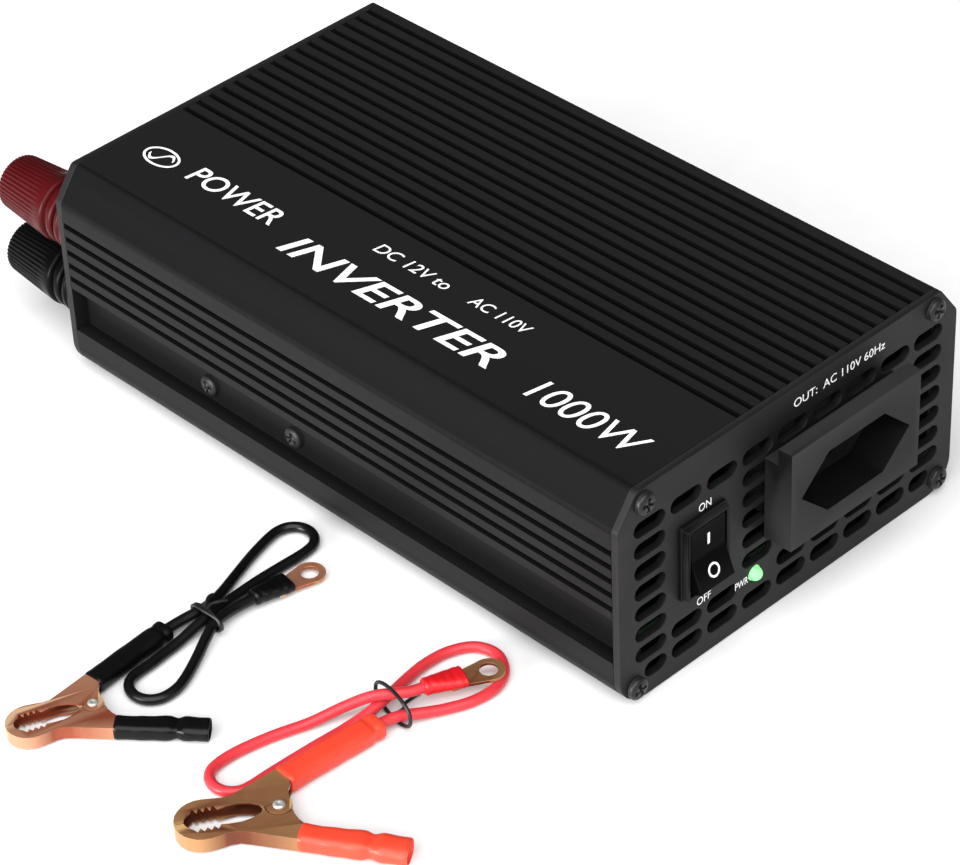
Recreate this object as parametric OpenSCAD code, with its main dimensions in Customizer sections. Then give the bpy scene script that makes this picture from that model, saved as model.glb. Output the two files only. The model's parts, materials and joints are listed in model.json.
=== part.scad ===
// Power inverter: a finned case with an AC panel at -Y and two DC binding posts at +Y,
// and two battery leads lying beside it. +Z is up, X is the width, all in millimetres.

/* [Case] */
// Width of the case
case_w = 112; // [108:1:118]
// Height of the case
case_h = 58.5; // [57.5:0.5:61]
// Length over both end panels
case_len = 188; // [180:1:210]
// Thickness of the end panels
plate_t = 2; // [1.5:0.5:2.5]
// Width of the top corner chamfers
chamfer_x = 6; // [4:0.5:7]
// Height of the top corner chamfers
chamfer_z = 8.25; // [6:0.25:9]
// Radius of the bottom corners
bottom_r = 8.3; // [6:0.1:9]

/* [Cooling grooves] */
// Width of each groove
groove_w = 2.2; // [1.6:0.1:2.6]
// Depth of each groove
groove_depth = 2.5; // [1:0.1:2.6]
// Number of grooves along the top
top_groove_count = 16; // [8:1:16]
// Spacing of the top grooves
top_groove_pitch = 4.1; // [3.6:0.1:4.1]
// Number of grooves on each side
side_groove_count = 5; // [3:1:5]
// Spacing of the side grooves
side_groove_pitch = 3.9; // [3.4:0.1:3.9]
// Depth of the long side recess
recess_depth = 4.2; // [2:0.1:4.2]

/* [Vent slots] */
// Length of a vent slot
slot_len = 9.8; // [8:0.1:10]
// Height of a vent slot
slot_h = 4.1; // [3:0.1:4.2]

/* [Socket] */
// Width of the socket block
socket_w = 43.4; // [42:0.1:44]
// How far the socket block stands out
socket_proud = 8; // [6:0.5:9]
// Depth of the plug recess
plug_depth = 10; // [10:0.5:12]
// Radius of the pin holes
pin_hole_r = 2.55; // [2.4:0.05:2.6]

/* [Switch] */
// Width of the switch bezel
switch_w = 15; // [14.6:0.1:16]
// Height of the switch bezel
switch_h = 20.8; // [20.4:0.1:22]
// Travel of the rocker from on to off, in degrees
rocker_travel = 22; // [16:1:22]

/* [DC posts] */
// How far the posts stand out of the rear panel
post_len = 30; // [28:1:32]
// Radius of the threaded studs
stud_r = 2; // [1.5:0.1:2]
// Largest radius of a knob
knob_r = 8.7; // [7.4:0.1:8.8]

/* [Fan] */
// Side of the square fan frame
fan_size = 50; // [40:1:50]
// Depth of the fan frame
fan_depth = 10; // [10:1:15]

/* [Leads] */
// Radius of the lead cables
cable_r = 1.3; // [1:0.05:1.3]
// Width of the clamps, which is their height as they lie
jaw_w = 3.7; // [3.6:0.1:4.4]
// Thickness of the clamps' sheet metal
jaw_t = 0.4; // [0.35:0.05:0.45]
// Radius of the lug holes
lug_hole_r = 2.15; // [2:0.05:2.5]

/* [Hidden] */

// Places along the length: the object is centred on its overall length
total_len = socket_proud + case_len + post_len;
front_y = -total_len / 2 + socket_proud;
rear_y = front_y + case_len;
body_y0 = front_y + plate_t;
body_y1 = rear_y - plate_t;

// Section of the extrusion
cavity_x = case_w / 2 - 6.5;
cavity_z0 = 2.6;
cavity_z1 = case_h - 5.3;
first_groove_x = -15.6;
top_side_groove_z = 44;
recess_z0 = 12.6;
recess_z1 = 25.7;
board_z = 8.4;
board_t = 1.6;
board_top = board_z + board_t;
rail_depth = 2.3;
top_screw = [case_w / 2 - 8.2, case_h - 4];
low_screw = [case_w / 2 - 5, 4.2];
boss_r = 3;
screw_hole_r = 1.35;
screw_r = 1.3;

// End panel features
slot_pitch_x = 11.5;
slot_pitch_z = 5.85;
slot_top_z = 47.6;
short_slot_x = 44.6;
socket_c = [12.4, 35.2];
socket_z0 = 22;
socket_top_rear = 44.5;
socket_top_front = 49;
collar_t = socket_proud / 2;
hex_half_flat = 9.4;
hex_half_w = 18.3;
hex_half_h = 8.25;
socket_body = [39, 18.2];
insert_t = 8;
pin_spread = 9.5;
earth_drop = 3;
switch_c = [-29.7, 30.6];
switch_body = [13, 19.2];
bezel_t = 2.2;
rocker_r = 8.85;
rocker_w = 11;
led_c = [-12.2, 13.3];
led_r = 2;
post_x = -44.8;
post_z = [37.1, 17.8];
post_bore_r = stud_r + 0.05;
base_h = 6.5;
washer_t = 1.2;
knob_y = rear_y + base_h + washer_t + 0.1;
knob_len = rear_y + post_len - knob_y;
fan_c = [12, 27.9];
fan_y = body_y1 - fan_depth;
fan_hole = fan_size * 0.4;
side_screw_z = 17.1;
side_screw_y = [4.6, 34.6];
transistor_y = [-3, 12, 27, 42];
transistor_z = 14;

// Clamps, in a frame with the rivet at the origin and the handles towards +X
nose_c = [-16.6, 0];
nose_r = 6.3;
handle_angle = 27;
handle_root = [-7.3, 6.8];
handle_len = 33;
handle_w = 5;
handle_inner = [4.06, 7];
sleeve_start = 10;
upper_sleeve_end = 36.3;
lower_sleeve_end = 34;
sleeve_t = 0.6;
jaw_z = sleeve_t;
lobe_r = 2.9;
rivet_r = 0.9;
rivet_head_r = 1.4;
jaw_gap = 0.15;
tooth_pitch = 1.5;
lug_t = 0.8;
lug_ring_r = 3.8;
lug_sleeve_len = 9.8;
lug_neck = 6;

// Where each clamp's rivet and each lug's hole lie: x, y, angle
red_clamp = [-130.5, -75.5, -30.75];
black_clamp = [-136.5, -20.5, -22];
black_clamp_scale = 0.88;
red_lug_at = [-68.5, -76.4, -20];
black_lug_at = [-71.5, -20.4, -7];
red_lug_z = 2.8;
black_lug_z = 0.9;

// Routes of the cables, from the clamp's sleeve to the lug's sleeve
red_route = [
    [-100.2, -70.6, 2.45], [-97.2, -70.8, 2.45], [-94.2, -71.5, 2.45], [-91.3, -72.6, 2.4], [-87, -74.9, 1.8],
    [-82, -77.4, 1.35], [-76.5, -79.6, 1.3], [-70.2, -80.1, 1.3], [-64.9, -77.6, 1.3], [-61.9, -72.4, 1.3],
    [-63.4, -66.9, 1.3], [-68.6, -63.7, 1.3], [-75, -62.8, 1.3], [-81, -63.4, 1.4], [-86.5, -64.8, 2],
    [-91.5, -66, 2.5], [-97, -66, 1.8], [-103, -65.6, 1.35], [-110, -65, 1.3], [-117, -64.6, 1.3],
    [-123.5, -64.3, 1.3], [-129, -64.2, 1.3], [-131.7, -63.5, 1.3], [-133.6, -61.6, 1.3],
    [-134.3, -58.9, 1.3], [-133.6, -56.2, 1.3], [-131.7, -54.3, 1.3], [-129, -53.6, 1.3],
    [-125, -53.6, 1.3], [-120.5, -54.3, 1.3], [-114, -55.9, 1.3], [-106.5, -58.8, 1.7],
    [-98.5, -62.2, 3.6], [-93.5, -65.4, 5.1], [-89.6, -68.1, 5], [-86.4, -69.9, 4.6], [-83.34, -71, 4.5]
];
black_route = [
    [-110.8, -12.2, 2.16], [-108.2, -12, 2.2], [-103.5, -12.3, 2.4], [-99, -12.8, 2.5], [-95, -12.2, 1.9],
    [-90, -10.6, 1.4], [-84, -8.4, 1.3], [-77, -5.9, 1.3], [-72.3, -4.5, 1.3], [-69, -3.7, 1.3],
    [-66.2, -3.4, 1.3], [-63.6, -4.1, 1.3], [-61.7, -6, 1.3], [-61, -8.6, 1.3], [-61.7, -11.2, 1.3],
    [-63.6, -13.1, 1.3], [-66.2, -13.8, 1.3], [-69.6, -13.9, 1.3], [-75, -13.7, 1.3], [-82, -13.6, 1.3],
    [-89, -14, 1.4], [-94.5, -14.9, 1.9], [-99, -15.7, 2.5], [-108.5, -16.8, 1.5],
    [-113, -17.2, 1.3], [-117.5, -17.7, 1.3], [-121.6, -17.9, 1.3], [-124.3, -18.6, 1.3],
    [-126.2, -20.5, 1.3], [-126.9, -23.2, 1.3], [-126.2, -25.9, 1.3], [-124.3, -27.8, 1.3],
    [-121.6, -28.5, 1.3], [-118, -28.1, 1.3], [-113.5, -26.2, 1.35], [-108.5, -23.5, 1.5],
    [-103.5, -20.7, 2], [-99, -18.7, 2.5], [-93.5, -18, 2.4], [-87.18, -18.47, 2.3]
];

// Rings along a cable: each stretch between two route points gets this many
ring_steps = 2;

// ---------- shared shapes ----------

// Extrudes an X-Z outline along +Y from y0
module along_y(y0, len) translate([0, y0 + len, 0]) rotate([90, 0, 0]) linear_extrude(len) children();

// Turns an (r, length) outline about an axis along +Y through (x, z), from y
module turned(x, y, z) translate([x, y, z]) rotate([-90, 0, 0]) rotate_extrude($fn = 72) children();

module both_sides() { children(); mirror([1, 0, 0]) children(); }

module case_outline() {
    translate([-case_w / 2, bottom_r]) square([case_w, case_h - chamfer_z - bottom_r]);
    translate([-case_w / 2 + bottom_r, 0]) square([case_w - 2 * bottom_r, bottom_r + 1]);
    for (s = [-1, 1]) translate([s * (case_w / 2 - bottom_r), bottom_r]) circle(bottom_r, $fn = 64);
    polygon([
        [-case_w / 2, case_h - chamfer_z], [case_w / 2, case_h - chamfer_z],
        [case_w / 2 - chamfer_x, case_h], [-case_w / 2 + chamfer_x, case_h]
    ]);
}

module panel_screw_places() both_sides() for (p = [top_screw, low_screw]) translate(p) children();

module box_at(x0, y0, z0, w, d, h) translate([x0, y0, z0]) cube([w, d, h]);

// Pan-head screw along -Y (head towards -Y at y), with a cross recess
module pan_screw(len, r, head_r) {
    difference() {
        turned(0, 0, 0) polygon([
            [0, -1.9], [head_r * 0.55, -1.8], [head_r * 0.85, -1.2], [head_r, -0.3], [head_r, 0],
            [r, 0], [r, len], [0, len]
        ]);
        for (a = [45, 135]) rotate([0, a, 0]) translate([-1.5, -2, -0.3]) cube([3, 1, 0.6]);
    }
}

// ---------- case ----------

module case_section() {
    difference() {
        case_outline();
        difference() {
            translate([-cavity_x, cavity_z0]) square([2 * cavity_x, cavity_z1 - cavity_z0]);
            panel_screw_places() circle(boss_r, $fn = 48);
            both_sides() for (z = [board_z - 1.7, board_top + 0.1])
                translate([cavity_x - rail_depth, z]) square([rail_depth + 1, 1.6]);
        }
        panel_screw_places() circle(screw_hole_r, $fn = 32);
        for (i = [0 : top_groove_count - 1])
            translate([first_groove_x + i * top_groove_pitch - groove_w / 2, case_h - groove_depth])
                square([groove_w, groove_depth + 1]);
        both_sides() {
            for (i = [0 : side_groove_count - 1])
                translate([case_w / 2 - groove_depth, top_side_groove_z - i * side_groove_pitch - groove_w / 2])
                    square([groove_depth + 1, groove_w]);
            translate([case_w / 2 - recess_depth, recess_z0])
                square([recess_depth + 1, recess_z1 - recess_z0]);
        }
    }
}

module case_extrusion() color([0.13, 0.13, 0.14]) difference() {
    along_y(body_y0, body_y1 - body_y0) case_section();
    both_sides() for (y = side_screw_y) translate([cavity_x - 1, y, side_screw_z])
        rotate([0, 90, 0]) cylinder(r = 1.6, h = 8, $fn = 32);
}

// A slot is used unless the switch, the lamp or the socket takes its place
function has_slot(k, row) =
    row == 1 || (abs(k) == 4 && row < 8) || (k == -1 && row < 7)
    || (row == 7 && k != -1) || (row == 8 && abs(k) < 4);

module slot(len) {
    square([len - slot_h, slot_h], center = true);
    for (s = [-1, 1]) translate([s * (len - slot_h) / 2, 0]) circle(slot_h / 2, $fn = 24);
}

module vent_slots() {
    for (k = [-4 : 4], row = [1 : 8]) if (has_slot(k, row))
        translate([k * slot_pitch_x, slot_top_z - (row - 1) * slot_pitch_z]) slot(slot_len);
    both_sides() translate([short_slot_x, slot_top_z - 7 * slot_pitch_z]) slot(slot_len - 2.8);
}

module front_panel() color([0.2, 0.2, 0.21]) along_y(front_y, plate_t) difference() {
    case_outline();
    vent_slots();
    translate(socket_c) square(socket_body + [0.1, 0.1], center = true);
    translate(switch_c) square(switch_body + [0.1, 0.1], center = true);
    translate(led_c) circle(led_r + 0.05, $fn = 32);
    panel_screw_places() circle(screw_r + 0.2, $fn = 32);
}

module fan_vent() {
    difference() {
        for (r = [6, 11, 16, 20.5]) difference() {
            circle(r + 3, $fn = 72);
            circle(r, $fn = 72);
        }
        for (a = [45, 135]) rotate(a) square([60, 3.2], center = true);
    }
}

module fan_corners() for (sx = [-1, 1], sz = [-1, 1])
    translate([fan_c[0] + sx * fan_hole, fan_c[1] + sz * fan_hole]) children();

module rear_panel() color([0.2, 0.2, 0.21]) along_y(body_y1, plate_t) difference() {
    case_outline();
    translate(fan_c) fan_vent();
    fan_corners() circle(1.6, $fn = 32);
    for (z = post_z) translate([post_x, z]) circle(4.45, $fn = 48);
    panel_screw_places() circle(screw_r + 0.2, $fn = 32);
}

module corner_screws() for (sx = [-1, 1], p = [top_screw, low_screw])
    translate([sx * p[0], 0, p[1]]) pan_screw(10, screw_r, 2.8);

module front_panel_screws() color([0.1, 0.1, 0.1]) translate([0, front_y, 0]) corner_screws();

module rear_panel_screws() color([0.1, 0.1, 0.1])
    translate([0, rear_y, 0]) rotate([0, 0, 180]) corner_screws();

// The screws stand on the recess floor and pull the clamp bars onto the transistors
module side_screws() color([0.1, 0.1, 0.1]) both_sides() for (y = side_screw_y)
    translate([case_w / 2 - recess_depth, y, side_screw_z]) rotate([0, 0, 90]) pan_screw(10, 1.4, 2.75);

// ---------- socket ----------

module plug_hex(gap) polygon([
    [-hex_half_w + gap, 0], [-hex_half_flat, hex_half_h - gap], [hex_half_flat, hex_half_h - gap],
    [hex_half_w - gap, 0], [hex_half_flat, -hex_half_h + gap], [-hex_half_flat, -hex_half_h + gap]
]);

module socket_housing() color([0.07, 0.07, 0.08]) difference() {
    union() {
        box_at(socket_c[0] - socket_w / 2, front_y - socket_proud, socket_z0,
            socket_w, socket_proud - collar_t, socket_top_front - socket_z0);
        box_at(socket_c[0] - socket_w / 2, front_y - collar_t, socket_z0,
            socket_w, collar_t, socket_top_rear - socket_z0);
        along_y(front_y - 1, 15) translate(socket_c) square(socket_body, center = true);
    }
    along_y(front_y - socket_proud - 1, 40) translate(socket_c) plug_hex(0);
}

insert_y = front_y - socket_proud + plug_depth;
pin_places = [[-pin_spread, earth_drop / 2], [pin_spread, earth_drop / 2], [0, -earth_drop / 2]];

module socket_insert() color([0.06, 0.06, 0.06]) along_y(insert_y, insert_t) translate(socket_c)
    difference() {
        plug_hex(0.02);
        for (p = pin_places) translate(p) circle(pin_hole_r, $fn = 48);
    }

module socket_contacts() color([0.8, 0.65, 0.3]) for (p = pin_places) {
    translate([socket_c[0] + p[0], insert_y + insert_t, socket_c[1] + p[1]]) {
        turned(0, 0, 0) translate([pin_hole_r, 0]) square([3.2 - pin_hole_r, 9]);
        box_at(-1.2, 8.5, -3.5, 2.4, 5, 0.8);
    }
}

// ---------- switch ----------

module switch_housing() color([0.05, 0.05, 0.05]) difference() {
    union() {
        along_y(front_y - bezel_t, bezel_t) translate(switch_c) square([switch_w, switch_h], center = true);
        along_y(front_y, 14) translate(switch_c) square(switch_body, center = true);
    }
    along_y(front_y - bezel_t - 1, bezel_t + 8) translate(switch_c) square([rocker_w + 0.4, 18], center = true);
    translate([switch_c[0], front_y, switch_c[1]]) rotate([0, 90, 0])
        cylinder(r = 1.26, h = rocker_w + 1.9, center = true, $fn = 32);
}

// The rocker turns about X at the panel face; at rest its upper half is pressed in
module switch_rocker() color([0.04, 0.04, 0.04])
    translate([switch_c[0], front_y, switch_c[1]]) rotate([-rocker_travel / 2, 0, 0]) {
        rotate([90, 0, 90]) translate([0, 0, -rocker_w / 2]) linear_extrude(rocker_w) difference() {
            polygon([
                [-2.1, 0], [-3.7, 8], [-1.5, 8.6], [2, 8.3], [3.8, 4], [3.8, -4], [2, -8.3],
                [-1.5, -8.6], [-3.7, -8]
            ]);
            translate([5, 0]) square([6, 9], center = true);
        }
        rotate([0, 90, 0]) cylinder(r = 1.2, h = rocker_w + 1.6, center = true, $fn = 32);
    }

module switch_terminals() color([0.8, 0.7, 0.45]) for (z = [-6, 6])
    box_at(switch_c[0] - 2.4, front_y + 14, switch_c[1] + z - 0.4, 4.8, 7, 0.8);

module led_lens() color([0.6, 0.95, 0.65]) turned(led_c[0], front_y, led_c[1]) polygon(concat(
    [for (a = [-90 : 15 : 0]) [led_r * cos(a), led_r * 0.9 * sin(a)]],
    [[led_r, 3.5], [led_r + 0.6, 3.5], [led_r + 0.6, 4.5], [0, 4.5]]
));

// ---------- fan ----------

module fan_frame() color([0.06, 0.06, 0.06]) {
    along_y(fan_y, fan_depth) difference() {
        translate(fan_c) square([fan_size, fan_size], center = true);
        translate(fan_c) circle(fan_size / 2 - 1.5, $fn = 96);
        fan_corners() circle(1.6, $fn = 32);
    }
    along_y(fan_y, 1.5) difference() {
        translate(fan_c) union() {
            circle(13, $fn = 64);
            for (a = [30, 150, 270]) rotate(a) translate([0, -1.2]) square([fan_size / 2 - 1, 2.4]);
        }
        translate(fan_c) circle(1.05, $fn = 32);
    }
}

// Hub with a shaft and seven flat blades at a pitch
module fan_rotor() color([0.09, 0.09, 0.09]) translate([fan_c[0], fan_y, fan_c[1]]) {
    turned(0, 0, 0) polygon([[0, 0.2], [1, 0.2], [1, 2.2], [12.5, 2.2], [12.5, 8.6], [11.5, 9.2], [0, 9.2]]);
    for (i = [0 : 6]) rotate([0, i * 360 / 7, 0]) translate([17, 5.6, 0]) rotate([35, 0, 0])
        cube([11, 0.9, 9.5], center = true);
}

module fan_screws() color([0.1, 0.1, 0.1]) fan_corners_3d() rotate([0, 0, 180]) pan_screw(11, 1.4, 2.6);

module fan_corners_3d() for (sx = [-1, 1], sz = [-1, 1])
    translate([fan_c[0] + sx * fan_hole, rear_y, fan_c[1] + sz * fan_hole]) children();

// ---------- DC posts ----------

module post_base(z) turned(post_x, rear_y, z) polygon([
    [post_bore_r, -4], [4.4, -4], [4.4, 0], [9.5, 0], [9.5, 2.8], [8.9, 3.4], [8.1, 3.6],
    [8.1, 5], [8.5, 5.2], [8.5, base_h], [post_bore_r, base_h]
]);

module red_post_base() color([0.4, 0.08, 0.09]) post_base(post_z[0]);
module black_post_base() color([0.04, 0.04, 0.04]) post_base(post_z[1]);

module washer(z) turned(post_x, rear_y + base_h, z)
    translate([stud_r + 0.1, 0]) square([4.4, washer_t]);

module red_washer() color([0.75, 0.75, 0.74]) washer(post_z[0]);
module black_washer() color([0.75, 0.75, 0.74]) washer(post_z[1]);

// Knob: smooth collars next to the washer, then a body that narrows to the tip
module knob(z) turned(post_x, knob_y, z) polygon([
    [post_bore_r, 0], [knob_r - 1, 0], [knob_r - 0.4, 0.6], [knob_r - 0.4, 2], [knob_r - 1.2, 2.4],
    [knob_r - 1.2, 3], [knob_r, 3.4], [knob_r, 6], [knob_r - 1.4, knob_len - 0.8],
    [knob_r - 2.2, knob_len], [0, knob_len], [0, knob_len - 3], [post_bore_r, knob_len - 3]
]);

module red_knob() color([0.42, 0.08, 0.09]) knob(post_z[0]);
module black_knob() color([0.03, 0.03, 0.03]) knob(post_z[1]);

stud_in = 15;
stud_out = knob_y - rear_y + knob_len - 6;
module dc_studs() color([0.8, 0.7, 0.4]) for (z = post_z)
    turned(post_x, rear_y - stud_in, z) square([stud_r, stud_in + stud_out]);

module stud_nuts() color([0.7, 0.7, 0.68]) for (z = post_z, y = [rear_y - 7.3, rear_y - 11])
    translate([post_x, y, z]) rotate([-90, 0, 0]) difference() {
        cylinder(r = 4, h = 3.2, $fn = 6);
        translate([0, 0, -1]) cylinder(r = stud_r + 0.02, h = 6, $fn = 48);
    }

// ---------- electronics ----------

module circuit_board() color([0.1, 0.3, 0.15])
    box_at(-cavity_x + 0.15, body_y0 + 6, board_z, 2 * cavity_x - 0.3, fan_y - body_y0 - 10, board_t);

transformer_y = [8, 32];
core_w = 42;
core_d = 14;
core_h = 36;
leg = 12;

module transformer_cores() color([0.2, 0.2, 0.21]) for (y = transformer_y)
    translate([0, y, board_top + 1]) difference() {
        translate([-core_w / 2, -core_d / 2, 0]) cube([core_w, core_d, core_h]);
        for (s = [-1, 1]) translate([s * (leg / 2 + 4.5), 0, core_h / 2])
            cube([9, core_d + 2, core_h - 12], center = true);
    }

module transformer_windings() color([0.75, 0.6, 0.2]) for (y = transformer_y)
    translate([0, y, board_top + 1 + 6.2]) linear_extrude(core_h - 12.4) difference() {
        square([leg + 16, core_d + 9], center = true);
        square([leg + 0.1, core_d + 0.1], center = true);
    }

module capacitors() color([0.1, 0.12, 0.25]) {
    for (x = [-24, -8, 8, 24]) translate([x, 58, board_top]) cylinder(r = 6.25, h = 25, $fn = 48);
    translate([-26, -52, board_top]) cylinder(r = 11, h = 35, $fn = 64);
}

choke_at = [24, -48];
module choke_core() color([0.7, 0.7, 0.2]) translate([choke_at[0], choke_at[1], board_top + 2])
    rotate_extrude($fn = 72) translate([8, 0]) square([6, 9]);

module choke_winding() color([0.75, 0.35, 0.15]) translate([choke_at[0], choke_at[1], board_top + 2])
    rotate([0, 0, 25]) rotate_extrude(angle = 310, $fn = 72) difference() {
        translate([6.5, -1.5]) square([9, 12]);
        translate([7.95, -0.05]) square([6.1, 9.1]);
    }

pad_t = 0.3;
module power_transistors() color([0.08, 0.08, 0.09]) both_sides() for (y = transistor_y) {
    box_at(cavity_x - pad_t - 4.5, y - 5, transistor_z, 4.5, 10, 9);
    box_at(cavity_x - pad_t - 1.3, y - 5, transistor_z + 9, 1.3, 10, 6);
    for (dy = [-2.5, 0, 2.5])
        box_at(cavity_x - pad_t - 3, y + dy - 0.4, board_top, 0.5, 0.8, transistor_z - board_top);
}

module insulating_pads() color([0.75, 0.75, 0.7]) both_sides() difference() {
    box_at(cavity_x - pad_t, transistor_y[0] - 7, transistor_z - 1, pad_t, 60, 17);
    for (y = side_screw_y) translate([cavity_x, y, side_screw_z]) rotate([0, 90, 0])
        cylinder(r = 2, h = 4, center = true, $fn = 32);
}

module clamp_bars() color([0.7, 0.7, 0.72]) both_sides() difference() {
    box_at(cavity_x - pad_t - 7.5, transistor_y[0] - 7, transistor_z + 0.5, 3, 60, 8);
    for (y = side_screw_y) translate([cavity_x - 6, y, side_screw_z]) rotate([0, 90, 0])
        cylinder(r = 1.42, h = 10, center = true, $fn = 32);
}

control_y = -22;
module control_board() color([0.1, 0.3, 0.15]) box_at(-34, control_y, board_top, 68, 1.6, 32);

module control_chips() color([0.05, 0.05, 0.05]) for (x = [-22, 0, 20])
    box_at(x - 5, control_y - 3.4, board_top + 12, 10, 3.4, 7);

module fuses() color([0.2, 0.6, 0.3]) for (x = [-16, 0, 16])
    box_at(x - 9.5, 46.5, board_top, 7.5, 4.6, 16);

module buzzer() color([0.05, 0.05, 0.05]) translate([34, -78, board_top]) difference() {
    cylinder(r = 6, h = 9, $fn = 48);
    translate([0, 0, 6]) cylinder(r = 1.2, h = 4, $fn = 24);
}

// A wire that leaves (x, y, z) along dir * Y, bends down and ends on the board
module drop_wire(x, y, z, dir, run, r, bend) translate([x, y, z]) {
    rotate([-90 * dir, 0, 0]) cylinder(r = r, h = run, $fn = 32);
    translate([0, dir * run, -bend]) rotate([90, 0, dir * 90])
        rotate_extrude(angle = 90, $fn = 48) translate([bend, 0]) circle(r, $fn = 32);
    translate([0, dir * (run + bend), board_top - z]) cylinder(r = r, h = z - board_top - bend, $fn = 32);
}

module dc_wire_red() color([0.7, 0.1, 0.1])
    drop_wire(post_x, rear_y - stud_in, post_z[0], -1, 10.5, 2.2, 5);
module dc_wire_black() color([0.05, 0.05, 0.05])
    drop_wire(post_x, rear_y - stud_in, post_z[1], -1, 2.5, 2.2, 5);

module hookup_wires() color([0.6, 0.1, 0.1]) {
    for (s = [0, 1]) drop_wire(socket_c[0] + pin_places[s][0], insert_y + insert_t + 13.5,
        socket_c[1] + pin_places[s][1] - 3.1, 1, 3 + 3 * s, 1, 3);
    for (s = [0, 1]) drop_wire(switch_c[0], front_y + 21, switch_c[1] + [-6, 6][s], 1, 2 + 5 * s, 0.8, 3);
}

// ---------- battery clamps ----------

// A point s along the handle from its root and n to its left
function on_handle(s, n) = handle_root
    + s * [cos(handle_angle), sin(handle_angle)] + n * [-sin(handle_angle), cos(handle_angle)];

// The outer edge of a jaw, moved inwards by t, and run on past the handle's end by extra
function outer_edge(t, extra) = concat(
    [[nose_c[0] - nose_r + t, jaw_gap]],
    [for (a = [168 : -14 : 84]) nose_c + (nose_r - t) * [cos(a), sin(a)]],
    [[-13.3, 5.9 - t], [-11.5, 5.55 - t], [-9.6, 5.7 - t], on_handle(0, -t), on_handle(handle_len + extra, -t)]
);

// The mouth edge: teeth near the nose, then a rounded hollow up to the pivot
teeth_x0 = -13.8;
mouth_edge = concat(
    [[-3.6, 0.2], [-4.1, 1.2], [-6, 2.3], [-8.5, 2.9], [-11.2, 2.8], [-13, 2.5]],
    [for (i = [0 : 3], k = [0, 1]) [teeth_x0 - (i + k / 2) * tooth_pitch, k == 0 ? 3.7 : 2.6]],
    [[-19.8, 2.1], [-20.5, 1.1], [-20.8, jaw_gap]]
);

module jaw_plan() polygon(concat(
    outer_edge(0, 0), [on_handle(handle_len, -handle_w), handle_inner,
        [3.3, 5.6], [2.7, 3.6], [2.5, 1.5], [2.4, 0.2]], mouth_edge
));

module jaw_pocket() polygon(concat(
    outer_edge(jaw_t, 2), [[34, 8], [0, -9], [-26, -9]]
));

// The upper jaw: its cheeks carry the outer lobes of the pivot
module fixed_jaw() translate([0, 0, jaw_z]) difference() {
    union() {
        linear_extrude(jaw_w) jaw_plan();
        cylinder(r = lobe_r, h = jaw_w, $fn = 64);
    }
    translate([0, 0, jaw_t]) linear_extrude(jaw_w - 2 * jaw_t) jaw_pocket();
    translate([0, 0, -1]) cylinder(r = rivet_r + 0.02, h = jaw_w + 2, $fn = 48);
}

lobe_gap = 0.06;
lobe_z = jaw_t + lobe_gap;

// The lower jaw: its lobes lie between the upper jaw's lobes
module moving_jaw() translate([0, 0, jaw_z]) difference() {
    union() {
        difference() {
            linear_extrude(jaw_w) mirror([0, 1]) jaw_plan();
            translate([0, 0, -1]) cylinder(r = lobe_r + 0.3, h = jaw_w + 2, $fn = 64);
            translate([0, 0, jaw_t]) linear_extrude(jaw_w - 2 * jaw_t) mirror([0, 1]) jaw_pocket();
        }
        for (z = [lobe_z, jaw_w - lobe_z - jaw_t]) translate([0, 0, z]) cylinder(r = lobe_r, h = jaw_t, $fn = 64);
        for (z = [jaw_t / 2, jaw_w - lobe_z - jaw_t]) translate([0, 0, z])
            linear_extrude(lobe_z + jaw_t / 2) intersection() {
                mirror([0, 1]) jaw_plan();
                difference() {
                    circle(7, $fn = 64);
                    circle(lobe_r + 0.3, $fn = 64);
                }
            }
        for (z = [lobe_z, jaw_w - lobe_z - jaw_t]) translate([0, 0, z]) linear_extrude(jaw_t) intersection() {
            mirror([0, 1]) jaw_plan();
            circle(5, $fn = 64);
        }
    }
    translate([0, 0, -1]) cylinder(r = rivet_r + 0.07, h = jaw_w + 2, $fn = 48);
}

module rivet() rotate_extrude($fn = 48) polygon([
    [0, jaw_z - 0.5], [rivet_head_r, jaw_z - 0.4], [rivet_head_r, jaw_z], [rivet_r, jaw_z],
    [rivet_r, jaw_z + jaw_w], [rivet_head_r, jaw_z + jaw_w], [rivet_head_r, jaw_z + jaw_w + 0.2],
    [rivet_r, jaw_z + jaw_w + 0.5], [0, jaw_z + jaw_w + 0.5]
]);

wire_r = 0.28;
coil_r = 2.1;
// Torsion spring: three turns round the rivet and a leg along each handle
module spring() translate([0, 0, jaw_z + jaw_w / 2]) {
    for (i = [-1 : 1]) translate([0, 0, i * 0.6]) rotate_extrude($fn = 48)
        translate([coil_r, 0]) circle(wire_r, $fn = 16);
    translate([0, 0, 0.6]) spring_leg(62, 9.5);
    translate([0, 0, -0.6]) spring_leg(-62, 6);
}

module spring_leg(angle, reach) rotate([0, 90, angle]) translate([0, 0, coil_r + wire_r - 0.1])
    cylinder(r = wire_r * 0.8, h = reach - coil_r, $fn = 16);

// A sleeve over the handle's channel, open at its far end
module handle_sleeve(end) difference() {
    linear_extrude(jaw_w + 2 * sleeve_t) polygon([
        on_handle(sleeve_start, sleeve_t), on_handle(end, sleeve_t),
        on_handle(end, -handle_w - sleeve_t), on_handle(sleeve_start + 0.4, -handle_w - sleeve_t)
    ]);
    translate([0, 0, sleeve_t - 0.01]) linear_extrude(jaw_w + 0.02) polygon([
        on_handle(sleeve_start - 2, 0.01), on_handle(end + 2, 0.01),
        on_handle(end + 2, -handle_w - 0.01), on_handle(sleeve_start - 2, -handle_w - 0.01)
    ]);
}

module at(place) translate([place[0], place[1], 0]) rotate([0, 0, place[2]]) children();

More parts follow.
